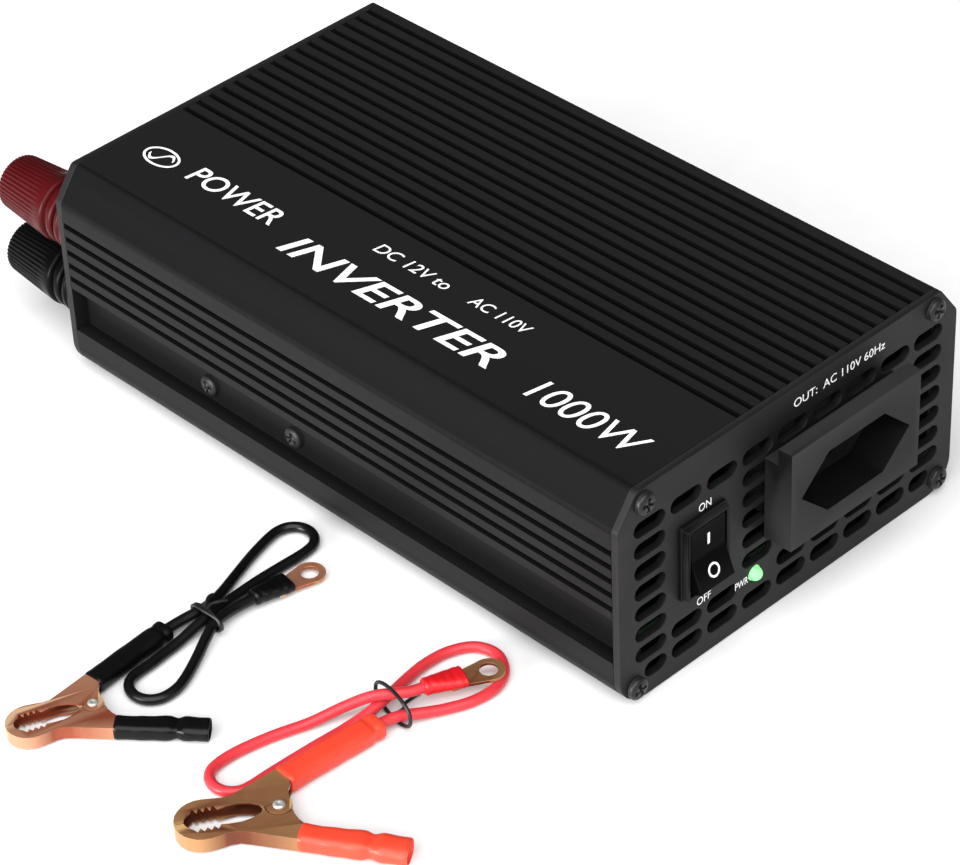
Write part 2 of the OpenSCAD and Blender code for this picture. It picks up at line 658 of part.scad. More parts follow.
// Lug: the ring's hole is at the origin, the tongue runs towards -X into the sleeve
module lug(z) translate([0, 0, z]) linear_extrude(lug_t) difference() {
    union() {
        circle(lug_ring_r, $fn = 64);
        polygon([[0, lug_ring_r], [-lug_neck, 2.6], [-lug_neck - 4, 2.6],
            [-lug_neck - 4, -2.6], [-lug_neck, -2.6], [0, -lug_ring_r]]);
    }
    circle(lug_hole_r, $fn = 48);
}

module lug_sleeve(z) difference() {
    translate([-lug_neck - lug_sleeve_len, 0, z + 0.3]) union() {
        linear_extrude(2.8) translate([0, -2.4]) square([lug_sleeve_len, 4.8]);
        translate([4, -3.1, -0.9]) cube([lug_sleeve_len - 4, 6.2, 2.6]);
    }
    translate([-lug_neck - 4.01, -2.61, z - 0.01]) cube([5, 5.22, lug_t + 0.02]);
}

// Ring of wire around the cable's strands
module tie(w, h) rotate([90, 0, 90]) linear_extrude(1.1, center = true) difference() {
    tie_outline(w, h, 0);
    tie_outline(w, h, 0.95);
}

module tie_outline(w, h, t) {
    translate([0, h / 2]) square([w - h, h - 2 * t], center = true);
    for (s = [-1, 1]) translate([s * (w - h) / 2, h / 2]) circle(h / 2 - t, $fn = 48);
}

// ---------- cables ----------

function blend(p0, p1, p2, p3, t) = 0.5 * (2 * p1 + (p2 - p0) * t
    + (2 * p0 - 5 * p1 + 4 * p2 - p3) * t * t + (3 * p1 - p0 - 3 * p2 + p3) * t * t * t);

// Points of a smooth curve through the route
function smooth(route, steps) = let (n = len(route)) concat(
    [for (i = [0 : n - 2], k = [0 : steps - 1])
        blend(route[max(i - 1, 0)], route[i], route[i + 1], route[min(i + 2, n - 1)], k / steps)],
    [route[n - 1]]
);

function unit(v) = v / norm(v);

// One ring of the tube, square to the curve at point i
function ring(path, i, r, sides) = let (
    n = len(path),
    along = unit(path[min(i + 1, n - 1)] - path[max(i - 1, 0)]),
    across = unit(cross([0, 0, 1], along)),
    up = cross(along, across)
) [for (k = [0 : sides - 1]) path[i]
    + r * (cos(k * 360 / sides + 22.5) * across + sin(k * 360 / sides + 22.5) * up)];

module tube(route, r, sides = 8) {
    path = smooth(route, ring_steps);
    rings = len(path);
    polyhedron(
        points = [for (i = [0 : rings - 1]) each ring(path, i, r, sides)],
        faces = concat(
            [[for (k = [0 : sides - 1]) k]],
            [for (i = [0 : rings - 2], k = [0 : sides - 1]) let (m = (k + 1) % sides)
                [i * sides + k, (i + 1) * sides + k, (i + 1) * sides + m, i * sides + m]],
            [[for (k = [sides - 1 : -1 : 0]) (rings - 1) * sides + k]]
        )
    );
}

// ---------- the two leads ----------

copper = [0.62, 0.42, 0.3];
bronze = [0.48, 0.36, 0.27];
pvc_red = [0.9, 0.24, 0.18];
pvc_black = [0.05, 0.05, 0.05];

module red_fixed_jaw() color(bronze) at(red_clamp) fixed_jaw();
module red_moving_jaw() color(bronze) at(red_clamp) moving_jaw();
module red_rivet() color([0.8, 0.8, 0.8]) at(red_clamp) rivet();
module red_spring() color([0.6, 0.6, 0.6]) at(red_clamp) spring();
module red_upper_sleeve() color(pvc_red) at(red_clamp) handle_sleeve(upper_sleeve_end);
module red_lower_sleeve() color(pvc_red) at(red_clamp) mirror([0, 1, 0])
    handle_sleeve(lower_sleeve_end);
module red_cable() color([0.88, 0.3, 0.33]) tube(red_route, cable_r);
module red_tie() color(pvc_black) translate([-91.42, -69.61, 0.02]) rotate([0, 0, -8]) tie(14.9, 7.8);
module red_lug_sleeve() color([0.85, 0.15, 0.15]) at(red_lug_at) lug_sleeve(red_lug_z);
module red_lug() color(bronze) at(red_lug_at) lug(red_lug_z);

module black_fixed_jaw() color(copper) at(black_clamp) scale(black_clamp_scale) fixed_jaw();
module black_moving_jaw() color(copper) at(black_clamp) scale(black_clamp_scale) moving_jaw();
module black_rivet() color([0.8, 0.8, 0.8]) at(black_clamp) scale(black_clamp_scale) rivet();
module black_spring() color([0.6, 0.6, 0.6]) at(black_clamp) scale(black_clamp_scale) spring();
module black_upper_sleeve() color(pvc_black) at(black_clamp) scale(black_clamp_scale)
    handle_sleeve(upper_sleeve_end);
module black_lower_sleeve() color(pvc_black) at(black_clamp) scale(black_clamp_scale)
    mirror([0, 1, 0]) handle_sleeve(lower_sleeve_end);
module black_cable() color(pvc_black) tube(black_route, cable_r);
module black_tie() color(pvc_black) translate([-99, -15.9, 0.02]) tie(10.9, 5);
module black_lug_sleeve() color(pvc_black) at(black_lug_at) lug_sleeve(black_lug_z);
module black_lug() color(copper) at(black_lug_at) lug(black_lug_z);

case_extrusion();
front_panel();
rear_panel();
front_panel_screws();
rear_panel_screws();
side_screws();
socket_housing();
socket_insert();
socket_contacts();
switch_housing();
switch_rocker();
switch_terminals();
led_lens();
fan_frame();
fan_rotor();
fan_screws();
red_post_base();
black_post_base();
red_washer();
black_washer();
red_knob();
black_knob();
dc_studs();
stud_nuts();
circuit_board();
transformer_cores();
transformer_windings();
capacitors();
choke_core();
choke_winding();
power_transistors();
clamp_bars();
insulating_pads();
control_board();
control_chips();
fuses();
buzzer();
dc_wire_red();
dc_wire_black();
hookup_wires();
red_fixed_jaw();
red_moving_jaw();
red_rivet();
red_spring();
red_upper_sleeve();
red_lower_sleeve();
red_cable();
red_tie();
red_lug_sleeve();
red_lug();
black_fixed_jaw();
black_moving_jaw();
black_rivet();
black_spring();
black_upper_sleeve();
black_lower_sleeve();
black_cable();
black_tie();
black_lug_sleeve();
black_lug();
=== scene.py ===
"""Looks for the power inverter and its two battery leads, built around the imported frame."""

import json
import math

import bmesh
import bpy
from mathutils import Matrix, Vector

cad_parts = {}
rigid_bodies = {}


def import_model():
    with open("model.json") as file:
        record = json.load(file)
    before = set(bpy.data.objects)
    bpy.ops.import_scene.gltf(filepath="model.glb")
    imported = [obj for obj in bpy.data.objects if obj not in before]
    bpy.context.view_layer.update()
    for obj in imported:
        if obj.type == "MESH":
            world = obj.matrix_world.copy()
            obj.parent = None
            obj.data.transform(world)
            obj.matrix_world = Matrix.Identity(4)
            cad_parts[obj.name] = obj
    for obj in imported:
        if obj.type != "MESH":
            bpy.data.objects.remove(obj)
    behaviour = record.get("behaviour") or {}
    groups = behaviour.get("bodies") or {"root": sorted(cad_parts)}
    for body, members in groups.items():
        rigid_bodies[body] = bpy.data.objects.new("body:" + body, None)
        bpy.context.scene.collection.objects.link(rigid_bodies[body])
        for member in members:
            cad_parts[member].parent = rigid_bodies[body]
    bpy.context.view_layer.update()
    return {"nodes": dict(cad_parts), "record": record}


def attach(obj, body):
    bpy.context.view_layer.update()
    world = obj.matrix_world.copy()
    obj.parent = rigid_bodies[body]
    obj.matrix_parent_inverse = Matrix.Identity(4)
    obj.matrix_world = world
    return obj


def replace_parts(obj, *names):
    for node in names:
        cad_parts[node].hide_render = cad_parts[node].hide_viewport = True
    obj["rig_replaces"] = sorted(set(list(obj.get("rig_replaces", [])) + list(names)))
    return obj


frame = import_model()
nodes = frame["nodes"]
MM = 0.001

# ---------- camera ----------

EYE = Vector((-0.4975, -0.5396, 0.5551))
AZIMUTH, ELEVATION, ROLL = (math.radians(a) for a in (-42.854, 37.536, -2.686))
LENS = 140.99


def add_camera():
    back = Vector((
        math.sin(AZIMUTH) * math.cos(ELEVATION),
        -math.cos(AZIMUTH) * math.cos(ELEVATION),
        math.sin(ELEVATION),
    ))
    right = Vector((math.cos(AZIMUTH), math.sin(AZIMUTH), 0))
    up = back.cross(right)
    c, s = math.cos(ROLL), math.sin(ROLL)
    axes = Matrix((c * right + s * up, c * up - s * right, back)).transposed()
    data = bpy.data.cameras.new("camera")
    data.lens = LENS
    data.sensor_width = 36
    data.clip_start, data.clip_end = 0.01, 20
    camera = bpy.data.objects.new("camera", data)
    camera.matrix_world = Matrix.Translation(EYE) @ axes.to_4x4()
    bpy.context.scene.collection.objects.link(camera)
    bpy.context.scene.camera = camera


add_camera()

# ---------- materials ----------


def srgb(*values):
    """Linear colour from 0-255 display values."""
    out = [(v / 255) / 12.92 if v <= 10 else ((v / 255 + 0.055) / 1.055) ** 2.4 for v in values]
    return (*out, 1.0)


def scaled(colour, k):
    return (*(min(1.0, c * k) for c in colour[:3]), 1.0)


# The part of the slow noise that colour and gloss follow
DRIFT_LOW, DRIFT_HIGH = 0.3, 0.7
# Socket numbers of a Mix node that mixes colours
MIX_FACTOR, MIX_A, MIX_B, MIX_RESULT = 0, 6, 7, 2


def surface(
    name, colour, rough=0.5, spread=0.06, metallic=0.0, specular=0.5, coat=0.0,
    tint=0.12, tint_scale=90, grain=0.25, grain_scale=2600, grain_depth=0.02,
    stretch=(1, 1, 1), wave=0.0, wave_scale=350, edge=None, edge_from=0.53, glow=0.0,
):
    """A material with slow colour drift, uneven gloss, fine grain and, if asked, lighter edges that are
    partly wear and partly a painted highlight.
    """
    m = bpy.data.materials.new(name)
    m.use_nodes = True
    tree = m.node_tree
    shader = tree.nodes["Principled BSDF"]
    shader.inputs["Metallic"].default_value = metallic
    shader.inputs["Specular IOR Level"].default_value = specular
    shader.inputs["Coat Weight"].default_value = coat
    shader.inputs["Coat Roughness"].default_value = 0.12

    def add(kind, **sockets):
        n = tree.nodes.new(kind)
        for key, value in sockets.items():
            n.inputs[key.replace("_", " ")].default_value = value
        return n

    def link(a, out, b, into):
        tree.links.new(a.outputs[out], b.inputs[into])

    place = add("ShaderNodeTexCoord")
    mapping = add("ShaderNodeMapping", Scale=stretch)
    link(place, "Object", mapping, "Vector")
    slow = add("ShaderNodeTexNoise", Scale=tint_scale, Detail=5.0, Roughness=0.6)
    link(mapping, "Vector", slow, "Vector")
    ramp = add("ShaderNodeValToRGB")
    dark, light = ramp.color_ramp.elements
    dark.position, light.position = DRIFT_LOW, DRIFT_HIGH
    dark.color, light.color = scaled(colour, 1 - tint), scaled(colour, 1 + tint)
    link(slow, "Fac", ramp, "Fac")
    # Lighter colour on sharp edges from Pointiness: partly edge wear, partly a painted highlight along the
    # edges.
    if edge is not None:
        geometry = add("ShaderNodeNewGeometry")
        wear_and_highlight = add("ShaderNodeMapRange", From_Min=edge_from, From_Max=edge_from + 0.06)
        link(geometry, "Pointiness", wear_and_highlight, "Value")
        mix = tree.nodes.new("ShaderNodeMix")
        mix.data_type = "RGBA"
        mix.inputs[MIX_B].default_value = edge
        link(wear_and_highlight, "Result", mix, MIX_FACTOR)
        link(ramp, "Color", mix, MIX_A)
        link(mix, MIX_RESULT, shader, "Base Color")
    else:
        link(ramp, "Color", shader, "Base Color")
    gloss = add("ShaderNodeMapRange", From_Min=DRIFT_LOW, From_Max=DRIFT_HIGH,
                To_Min=max(0.02, rough - spread), To_Max=min(1.0, rough + spread))
    link(slow, "Fac", gloss, "Value")
    link(gloss, "Result", shader, "Roughness")
    fine = add("ShaderNodeTexNoise", Scale=grain_scale, Detail=3.0, Roughness=0.55)
    link(mapping, "Vector", fine, "Vector")
    bump = add("ShaderNodeBump", Strength=grain, Distance=grain_depth * MM)
    link(fine, "Fac", bump, "Height")
    if wave:
        ripple = add("ShaderNodeTexNoise", Scale=wave_scale, Detail=2.0)
        link(mapping, "Vector", ripple, "Vector")
        slow_bump = add("ShaderNodeBump", Strength=wave, Distance=0.25 * MM)
        link(ripple, "Fac", slow_bump, "Height")
        link(slow_bump, "Normal", bump, "Normal")
    link(bump, "Normal", shader, "Normal")
    if glow:
        shader.inputs["Emission Color"].default_value = colour
        shader.inputs["Emission Strength"].default_value = glow
    return m


# The extrusion's fine drawing lines run along Y
ALONG_Y = (1, 0.03, 1)
# Each edge colour is a lighter tone on sharp edges: partly wear, partly a painted highlight (strongest on the
# clamps).
MATERIALS = {
    "case_paint": surface("case_paint", srgb(17, 17, 18), 0.42, specular=0.04, grain=0.3,
                          stretch=ALONG_Y, grain_scale=5200, grain_depth=0.012, tint_scale=160,
                          edge=srgb(28, 28, 29)),
    "panel_paint": surface("panel_paint", srgb(23, 23, 24), 0.5, specular=0.18, grain=0.5,
                           grain_scale=3400, tint=0.08, edge=srgb(36, 36, 37)),
    "black_screw": surface("black_screw", srgb(24, 24, 25), 0.42, metallic=0.2, specular=0.35,
                           grain=0.2, edge=srgb(70, 70, 72)),
    # Near black for the screws' cross recesses: painted shade.
    "recess_painted_shade": surface("recess_painted_shade", srgb(2, 2, 2), 0.7, specular=0.05),
    "socket_plastic": surface("socket_plastic", srgb(16, 16, 17), 0.42, specular=0.12, grain=0.35,
                              grain_scale=3800, edge=srgb(44, 44, 45)),
    "switch_plastic": surface("switch_plastic", srgb(4, 4, 5), 0.34, specular=0.02, grain=0.2,
                              grain_scale=3000, edge=srgb(34, 34, 35)),
    "lamp_green": surface("lamp_green", srgb(132, 232, 140), 0.25, tint=0.05, grain=0.05, glow=0.65),
    "fan_plastic": surface("fan_plastic", srgb(20, 20, 21), 0.4, grain=0.25),
    "post_red": surface("post_red", srgb(64, 6, 9), 0.35, specular=0.16, grain=0.2, tint=0.1, wave=0.1,
                        edge=srgb(120, 24, 28), edge_from=0.56),
    "post_black": surface("post_black", srgb(5, 5, 6), 0.36, specular=0.08, grain=0.2, wave=0.1,
                          edge=srgb(20, 20, 21)),
    "plated_steel": surface("plated_steel", srgb(188, 188, 186), 0.3, metallic=0.55, grain=0.25,
                            tint=0.06),
    "contact_brass": surface("contact_brass", srgb(196, 158, 84), 0.3, metallic=1.0, grain=0.2),
    # The board's green is kept very dark as painted shade, so the inside seen through the vents stays dark.
    "board_green": surface("board_green", srgb(12, 38, 20), 0.35, coat=0.3, tint_scale=300, tint=0.2),
    "ferrite": surface("ferrite", srgb(48, 48, 50), 0.7, grain=0.6, grain_scale=1500),
    "winding_tape": surface("winding_tape", srgb(196, 158, 60), 0.35, wave=0.5, tint=0.08),
    "capacitor_sleeve": surface("capacitor_sleeve", srgb(24, 28, 60), 0.3, coat=0.2),
    "choke_yellow": surface("choke_yellow", srgb(196, 176, 60), 0.6, grain=0.5),
    "enamelled_copper": surface("enamelled_copper", srgb(176, 88, 40), 0.3, metallic=0.9, wave=1.0,
                                wave_scale=900),
    "component_black": surface("component_black", srgb(18, 18, 19), 0.5),
    "bar_aluminium": surface("bar_aluminium", srgb(180, 182, 186), 0.35, metallic=1.0,
                             stretch=ALONG_Y),
    "pad_grey": surface("pad_grey", srgb(160, 160, 150), 0.8),
    "fuse_green": surface("fuse_green", srgb(48, 150, 76), 0.35, coat=0.1),
    "wire_red": surface("wire_red", srgb(176, 24, 26), 0.4),
    "wire_black": surface("wire_black", srgb(16, 16, 17), 0.4),
    "clamp_bronze": surface("clamp_bronze", srgb(112, 58, 38), 0.36, metallic=0.55, tint=0.16,
                            tint_scale=260, grain=0.3, wave=0.12, wave_scale=500,
                            edge=srgb(240, 190, 130)),
    "clamp_copper": surface("clamp_copper", srgb(150, 76, 52), 0.34, metallic=0.55, tint=0.14,
                            tint_scale=260, grain=0.3, wave=0.12, wave_scale=500,
                            edge=srgb(244, 200, 160)),
    "sleeve_red": surface("sleeve_red", srgb(222, 64, 42), 0.38, specular=0.4, tint=0.06,
                          wave=0.2, wave_scale=260),
    "sleeve_black": surface("sleeve_black", srgb(7, 7, 8), 0.32, specular=0.2, wave=0.2,
                            wave_scale=260),
    "cable_red": surface("cable_red", srgb(204, 52, 60), 0.36, specular=0.35, tint=0.08,
                         wave=0.08),
    "cable_black": surface("cable_black", srgb(8, 8, 9), 0.3, specular=0.3, wave=0.08),
    "tie_black": surface("tie_black", srgb(16, 16, 17), 0.4, wave=0.3, wave_scale=900),
    "lug_red": surface("lug_red", srgb(206, 22, 30), 0.38, wave=0.3, wave_scale=420),
}
PRINT = surface("white_print", srgb(244, 244, 244), 0.5, tint=0.02, grain=0.15)

# ---------- mesh helpers ----------


def new_object(name, data):
    obj = bpy.data.objects.new(name, data)
    bpy.context.scene.collection.objects.link(obj)
    return obj


def baked(obj):
    """The object's shape with its curve or modifiers worked out, as a mesh. The object goes."""
    bpy.context.view_layer.update()
    shape = obj.evaluated_get(bpy.context.evaluated_depsgraph_get())
    mesh = bpy.data.meshes.new_from_object(shape)
    bpy.data.objects.remove(obj)
    return mesh


def add_line(data, points, closed=False):
    """Adds a line through points in the curve's own units."""
    spline = data.splines.new("POLY")
    spline.points.add(len(points) - 1)
    for point, place in zip(spline.points, points):
        point.co = (*place, 1)
    spline.use_cyclic_u = closed


def flat_curve(name, rings, extrude):
    """A filled outline in the X-Y plane: the first ring is the edge and the rest are holes."""
    data = bpy.data.curves.new(name, "CURVE")
    data.dimensions = "2D"
    data.fill_mode = "BOTH"
    data.extrude = extrude
    for ring in rings:
        add_line(data, ring, closed=True)
    return data


def round_curve(name, path, radius, resolution, closed=False):
    """A round wire along a path, with capped ends."""
    data = bpy.data.curves.new(name, "CURVE")
    data.dimensions = "3D"
    data.bevel_depth = radius * MM
    data.bevel_resolution = resolution
    data.use_fill_caps = True
    add_line(data, path, closed)
    return data


def mesh_from(name, points, faces):
    """An object from points in millimetres."""
    mesh = bpy.data.meshes.new(name)
    mesh.from_pydata([Vector(p) * MM for p in points], [], faces)
    mesh.validate()
    bm = bmesh.new()
    bm.from_mesh(mesh)
    bmesh.ops.recalc_face_normals(bm, faces=bm.faces)
    bm.to_mesh(mesh)
    bm.free()
    return new_object(name, mesh)


def smooth_by_angle(obj, degrees=32):
    obj.data.shade_smooth()
    obj.data.set_sharp_from_angle(angle=math.radians(degrees))


def bevelled(obj, width, segments=3, limit=30):
    """Rounds the sharp edges and keeps the flat faces flat."""
    obj.data.shade_smooth()
    m = obj.modifiers.new("edges", "BEVEL")
    m.width = width * MM
    m.segments = segments
    m.limit_method = "ANGLE"
    m.angle_limit = math.radians(limit)
    m.harden_normals = True
    m.use_clamp_overlap = True
    return obj


def finish_piece(obj, body, slot, *stood_for):
    """Gives a piece its material and says which body it rides on and which nodes it replaces."""
    obj.data.materials.clear()
    obj.data.materials.append(MATERIALS[slot])
    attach(obj, body)
    if stood_for:
        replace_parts(obj, *stood_for)
    return obj


def copy_of(node, name):
    """A clean copy of a CAD node's mesh."""
    mesh = nodes[node].data.copy()
    mesh.name = name
    bm = bmesh.new()
    bm.from_mesh(mesh)
    bmesh.ops.remove_doubles(bm, verts=bm.verts, dist=2e-6)
    bmesh.ops.dissolve_limit(bm, angle_limit=math.radians(0.6), verts=bm.verts, edges=bm.edges)
    bm.to_mesh(mesh)
    bm.free()
    if "custom_normal" in mesh.attributes:
        mesh.attributes.remove(mesh.attributes["custom_normal"])
    return new_object(name, mesh)


def refined(node, body, slot, width, segments=3):
    """A CAD node with its edges rounded."""
    obj = bevelled(copy_of(node, node + "_form"), width, segments)
    return finish_piece(obj, body, slot, node)


def joined(name, objects):
    """Merges objects into the first one."""
    bm = bmesh.new()
    for o in objects:
        part = o.data.copy()
        part.transform(o.matrix_world)
        bm.from_mesh(part)
        bpy.data.meshes.remove(part)
    mesh = bpy.data.meshes.new(name)
    bm.to_mesh(mesh)
    bm.free()
    for o in objects:
        bpy.data.objects.remove(o)
    return new_object(name, mesh)


def rounded(points, radius, steps=3, closed=True):
    """The outline with every corner replaced by a small arc."""
    n = len(points)
    out = []
    for i, p in enumerate(points):
        p = Vector(p)
        if not closed and i in (0, n - 1):
            out.append(p)
            continue
        a, b = Vector(points[i - 1]) - p, Vector(points[(i + 1) % n]) - p
        reach = min(radius, a.length * 0.45, b.length * 0.45)
        p0, p1 = p + a.normalized() * reach, p + b.normalized() * reach
        for k in range(steps + 1):
            t = k / steps
            out.append((1 - t) ** 2 * p0 + 2 * t * (1 - t) * p + t * t * p1)
    return [tuple(q) for q in out]


def arc(cx, cy, r, start, end, steps):
    return [
        (cx + r * math.cos(math.radians(start + (end - start) * k / steps)),
         cy + r * math.sin(math.radians(start + (end - start) * k / steps)))
        for k in range(steps + 1)
    ]


def circle(cx, cy, r, steps=48):
    return arc(cx, cy, r, 0, 360 - 360 / steps, steps - 1)


def plate(name, outline, holes, y0, depth, edge):
    """A plate from X-Z outlines, depth along +Y from y0, with rounded edges."""
    rings = [[(x * MM, z * MM, 0) for x, z in ring] for ring in (outline, *holes)]
    data = flat_curve(name, rings, (depth / 2 - edge) * MM)
    data.bevel_depth = edge * MM
    data.bevel_resolution = 2
    data.offset = -edge * MM
    mesh = baked(new_object(name + "_curve", data))
    mesh.name = name
    middle = Matrix.Translation((0, (y0 + depth / 2) * MM, 0))
    mesh.transform(middle @ Matrix.Rotation(math.pi / 2, 4, "X"))
    obj = new_object(name, mesh)
    bm = bmesh.new()
    bm.from_mesh(mesh)
    bmesh.ops.remove_doubles(bm, verts=bm.verts, dist=1e-6)
    bmesh.ops.recalc_face_normals(bm, faces=bm.faces)
    bm.to_mesh(mesh)
    bm.free()
    smooth_by_angle(obj, 50)
    weigh = obj.modifiers.new("normals", "WEIGHTED_NORMAL")
    weigh.keep_sharp = True
    weigh.weight = 100
    return obj


def turned(name, x, y, z, profile, steps=96, radius_at=None):
    """A turned piece on an axis along +Y through (x, z): profile is (radius, y from the start)."""
    points, faces = [], []
    rings = len(profile)
    for i, (r, h) in enumerate(profile):
        for k in range(steps):
            a = 2 * math.pi * k / steps
            q = radius_at(r, h, a) if radius_at else r
            points.append((x + q * math.cos(a), y + h, z + q * math.sin(a)))
    for i in range(rings - 1):
        for k in range(steps):
            m = (k + 1) % steps
            faces.append((i * steps + k, i * steps + m,
                          (i + 1) * steps + m, (i + 1) * steps + k))
    faces.append(tuple(range(steps)))
    faces.append(tuple((rings - 1) * steps + k for k in range(steps)))
    obj = mesh_from(name, points, faces)
    smooth_by_angle(obj, 40)
    return obj


def tube(name, path, radius, closed=False):
    """A round wire along points in millimetres, as a mesh."""
    points = [(x * MM, y * MM, z * MM) for x, y, z in path]
    mesh = baked(new_object(name + "_curve", round_curve(name, points, radius, 4, closed)))
    mesh.name = name
    mesh.shade_smooth()
    return new_object(name, mesh)


def catmull(p0, p1, p2, p3, t):
    """A point between p1 and p2 on a smooth curve through all four."""
    return 0.5 * (2 * p1 + (p2 - p0) * t + (2 * p0 - 5 * p1 + 4 * p2 - p3) * t * t
                  + (3 * p1 - p0 - 3 * p2 + p3) * t * t * t)


def smooth_route(route, steps):
    """Points of a smooth curve through the route."""
    pts = [Vector(p) for p in route]
    last = len(pts) - 1
    out = []
    for i in range(last):
        out += [catmull(pts[max(i - 1, 0)], pts[i], pts[i + 1], pts[min(i + 2, last)], k / steps)
                for k in range(steps)]
    return [*out, pts[last]]


# ---------- cords ----------

CABLE_R = 1.3
ROUTE_STEPS = 6
RED_ROUTE = [
    (-100.2, -70.6, 2.45), (-97.2, -70.8, 2.45), (-94.2, -71.5, 2.45), (-91.3, -72.6, 2.4), (-87, -74.9, 1.8),
    (-82, -77.4, 1.35), (-76.5, -79.6, 1.3), (-70.2, -80.1, 1.3), (-64.9, -77.6, 1.3), (-61.9, -72.4, 1.3),
    (-63.4, -66.9, 1.3), (-68.6, -63.7, 1.3), (-75, -62.8, 1.3), (-81, -63.4, 1.4), (-86.5, -64.8, 2),
    (-91.5, -66, 2.5), (-97, -66, 1.8), (-103, -65.6, 1.35), (-110, -65, 1.3), (-117, -64.6, 1.3),
    (-123.5, -64.3, 1.3), (-129, -64.2, 1.3), (-131.7, -63.5, 1.3), (-133.6, -61.6, 1.3),
    (-134.3, -58.9, 1.3), (-133.6, -56.2, 1.3), (-131.7, -54.3, 1.3), (-129, -53.6, 1.3),
    (-125, -53.6, 1.3), (-120.5, -54.3, 1.3), (-114, -55.9, 1.3), (-106.5, -58.8, 1.7),
    (-98.5, -62.2, 3.6), (-93.5, -65.4, 5.1), (-89.6, -68.1, 5), (-86.4, -69.9, 4.6), (-83.34, -71, 4.5),
]
BLACK_ROUTE = [
    (-110.8, -12.2, 2.16), (-108.2, -12, 2.2), (-103.5, -12.3, 2.4), (-99, -12.8, 2.5), (-95, -12.2, 1.9),
    (-90, -10.6, 1.4), (-84, -8.4, 1.3), (-77, -5.9, 1.3), (-72.3, -4.5, 1.3), (-69, -3.7, 1.3),
    (-66.2, -3.4, 1.3), (-63.6, -4.1, 1.3), (-61.7, -6, 1.3), (-61, -8.6, 1.3), (-61.7, -11.2, 1.3),
    (-63.6, -13.1, 1.3), (-66.2, -13.8, 1.3), (-69.6, -13.9, 1.3), (-75, -13.7, 1.3), (-82, -13.6, 1.3),
    (-89, -14, 1.4), (-94.5, -14.9, 1.9), (-99, -15.7, 2.5), (-108.5, -16.8, 1.5),
    (-113, -17.2, 1.3), (-117.5, -17.7, 1.3), (-121.6, -17.9, 1.3), (-124.3, -18.6, 1.3),
    (-126.2, -20.5, 1.3), (-126.9, -23.2, 1.3), (-126.2, -25.9, 1.3), (-124.3, -27.8, 1.3),
    (-121.6, -28.5, 1.3), (-118, -28.1, 1.3), (-113.5, -26.2, 1.35), (-108.5, -23.5, 1.5),
    (-103.5, -20.7, 2), (-99, -18.7, 2.5), (-93.5, -18, 2.4), (-87.18, -18.47, 2.3),
]


def add_cable(colour, route):
    """The lead's cable as a curve of one open spline."""
    name = colour + "_cable_form"
    path = [p * MM for p in smooth_route(route, ROUTE_STEPS)]
    obj = new_object(name, round_curve(name, path, CABLE_R, 6))
    return finish_piece(obj, colour + "_lead", "cable_" + colour, colour + "_cable")


cables = {"red": add_cable("red", RED_ROUTE), "black": add_cable("black", BLACK_ROUTE)}

# ---------- case ----------

CASE_W, CASE_H = 112, 58.5
FRONT_Y, REAR_Y, PLATE_T = -105, 83, 2
CHAMFER_X, CHAMFER_Z, BOTTOM_R = 6, 8.25, 8.3
SOCKET_C = (12.4, 35.2)
SWITCH_C = (-29.7, 30.6)
LED_C = (-12.2, 13.3)
FAN_C = (12, 27.9)
POST_X, POST_Z = -44.8, (37.1, 17.8)
TOP_SCREW, LOW_SCREW = (47.8, 54.5), (51, 4.2)
SCREW_HOLE_R = 1.6
FAN_SCREW_REACH = 20
CORNERS = [(sx, sz) for sx in (-1, 1) for sz in (-1, 1)]
SIDE_GROOVES, TOP_GROOVES, GROOVE_DEPTH, GROOVE_HALF = 5, 16, 2.5, 1.1


def case_outline(grooved):
    """Half the outline from the bottom centre round to the top centre, then mirrored."""
    w, h = CASE_W / 2, CASE_H
    half = arc(w - BOTTOM_R, BOTTOM_R, BOTTOM_R, -90, 0, 10)
    lip, reach, deep = 0.28, GROOVE_HALF, GROOVE_DEPTH
    if grooved:
        half += rounded([(w, 12.6), (w - 4.2, 12.6), (w - 4.2, 25.7), (w, 25.7)], lip)
        for i in reversed(range(SIDE_GROOVES)):
            z = 44 - 3.9 * i
            half += rounded([(w, z - reach), (w - deep, z - reach),
                             (w - deep, z + reach), (w, z + reach)], lip)
    half += rounded([(w, h - CHAMFER_Z - 2), (w, h - CHAMFER_Z),
                     (w - CHAMFER_X, h), (w - CHAMFER_X - 2, h)], 0.8, closed=False)
    left = [(-x, z) for x, z in reversed(half)]
    top = []
    if grooved:
        for i in reversed(range(TOP_GROOVES)):
            x = -15.6 + 4.1 * i
            top += rounded([(x + reach, h), (x + reach, h - deep),
                            (x - reach, h - deep), (x - reach, h)], lip)
        # The last groove takes the place of the right half's end point
        half = [p for p in half if not (p[1] > h - 0.01 and p[0] < w - CHAMFER_X - 1)]
    return half + top + left


PANEL_SCREWS = [(s * x, z) for s in (-1, 1) for x, z in (TOP_SCREW, LOW_SCREW)]
FAN_SCREWS = [(FAN_C[0] + sx * FAN_SCREW_REACH, FAN_C[1] + sz * FAN_SCREW_REACH)
              for sx, sz in CORNERS]


def cavity():
    """The inside of the extrusion: board rails near the floor and a step under each chamfer."""
    right = [(49.5, 2.6), (49.5, 6.7), (47.2, 6.7), (47.2, 8.3), (49.5, 8.3), (49.5, 10.1),
             (47.2, 10.1), (47.2, 11.7), (49.5, 11.7), (49.5, 50.8), (44.6, 50.8), (44.6, 53.2)]
    left = [(-x, z) for x, z in reversed(right)]
    return [left[-1], *right, *left[:-1]]


case = plate("case_form", case_outline(True), [cavity()], FRONT_Y + PLATE_T,
             REAR_Y - FRONT_Y - 2 * PLATE_T, 0.15)
finish_piece(case, "inverter", "case_paint", "case_extrusion")

SLOT_LEN, SLOT_H = 9.8, 4.1
SLOT_PITCH, ROW_PITCH, TOP_ROW_Z = 11.5, 5.85, 47.6


def stadium(cx, cz, length, height):
    half = (length - height) / 2
    return arc(cx + half, cz, height / 2, -90, 90, 12) + arc(cx - half, cz, height / 2, 90, 270, 12)


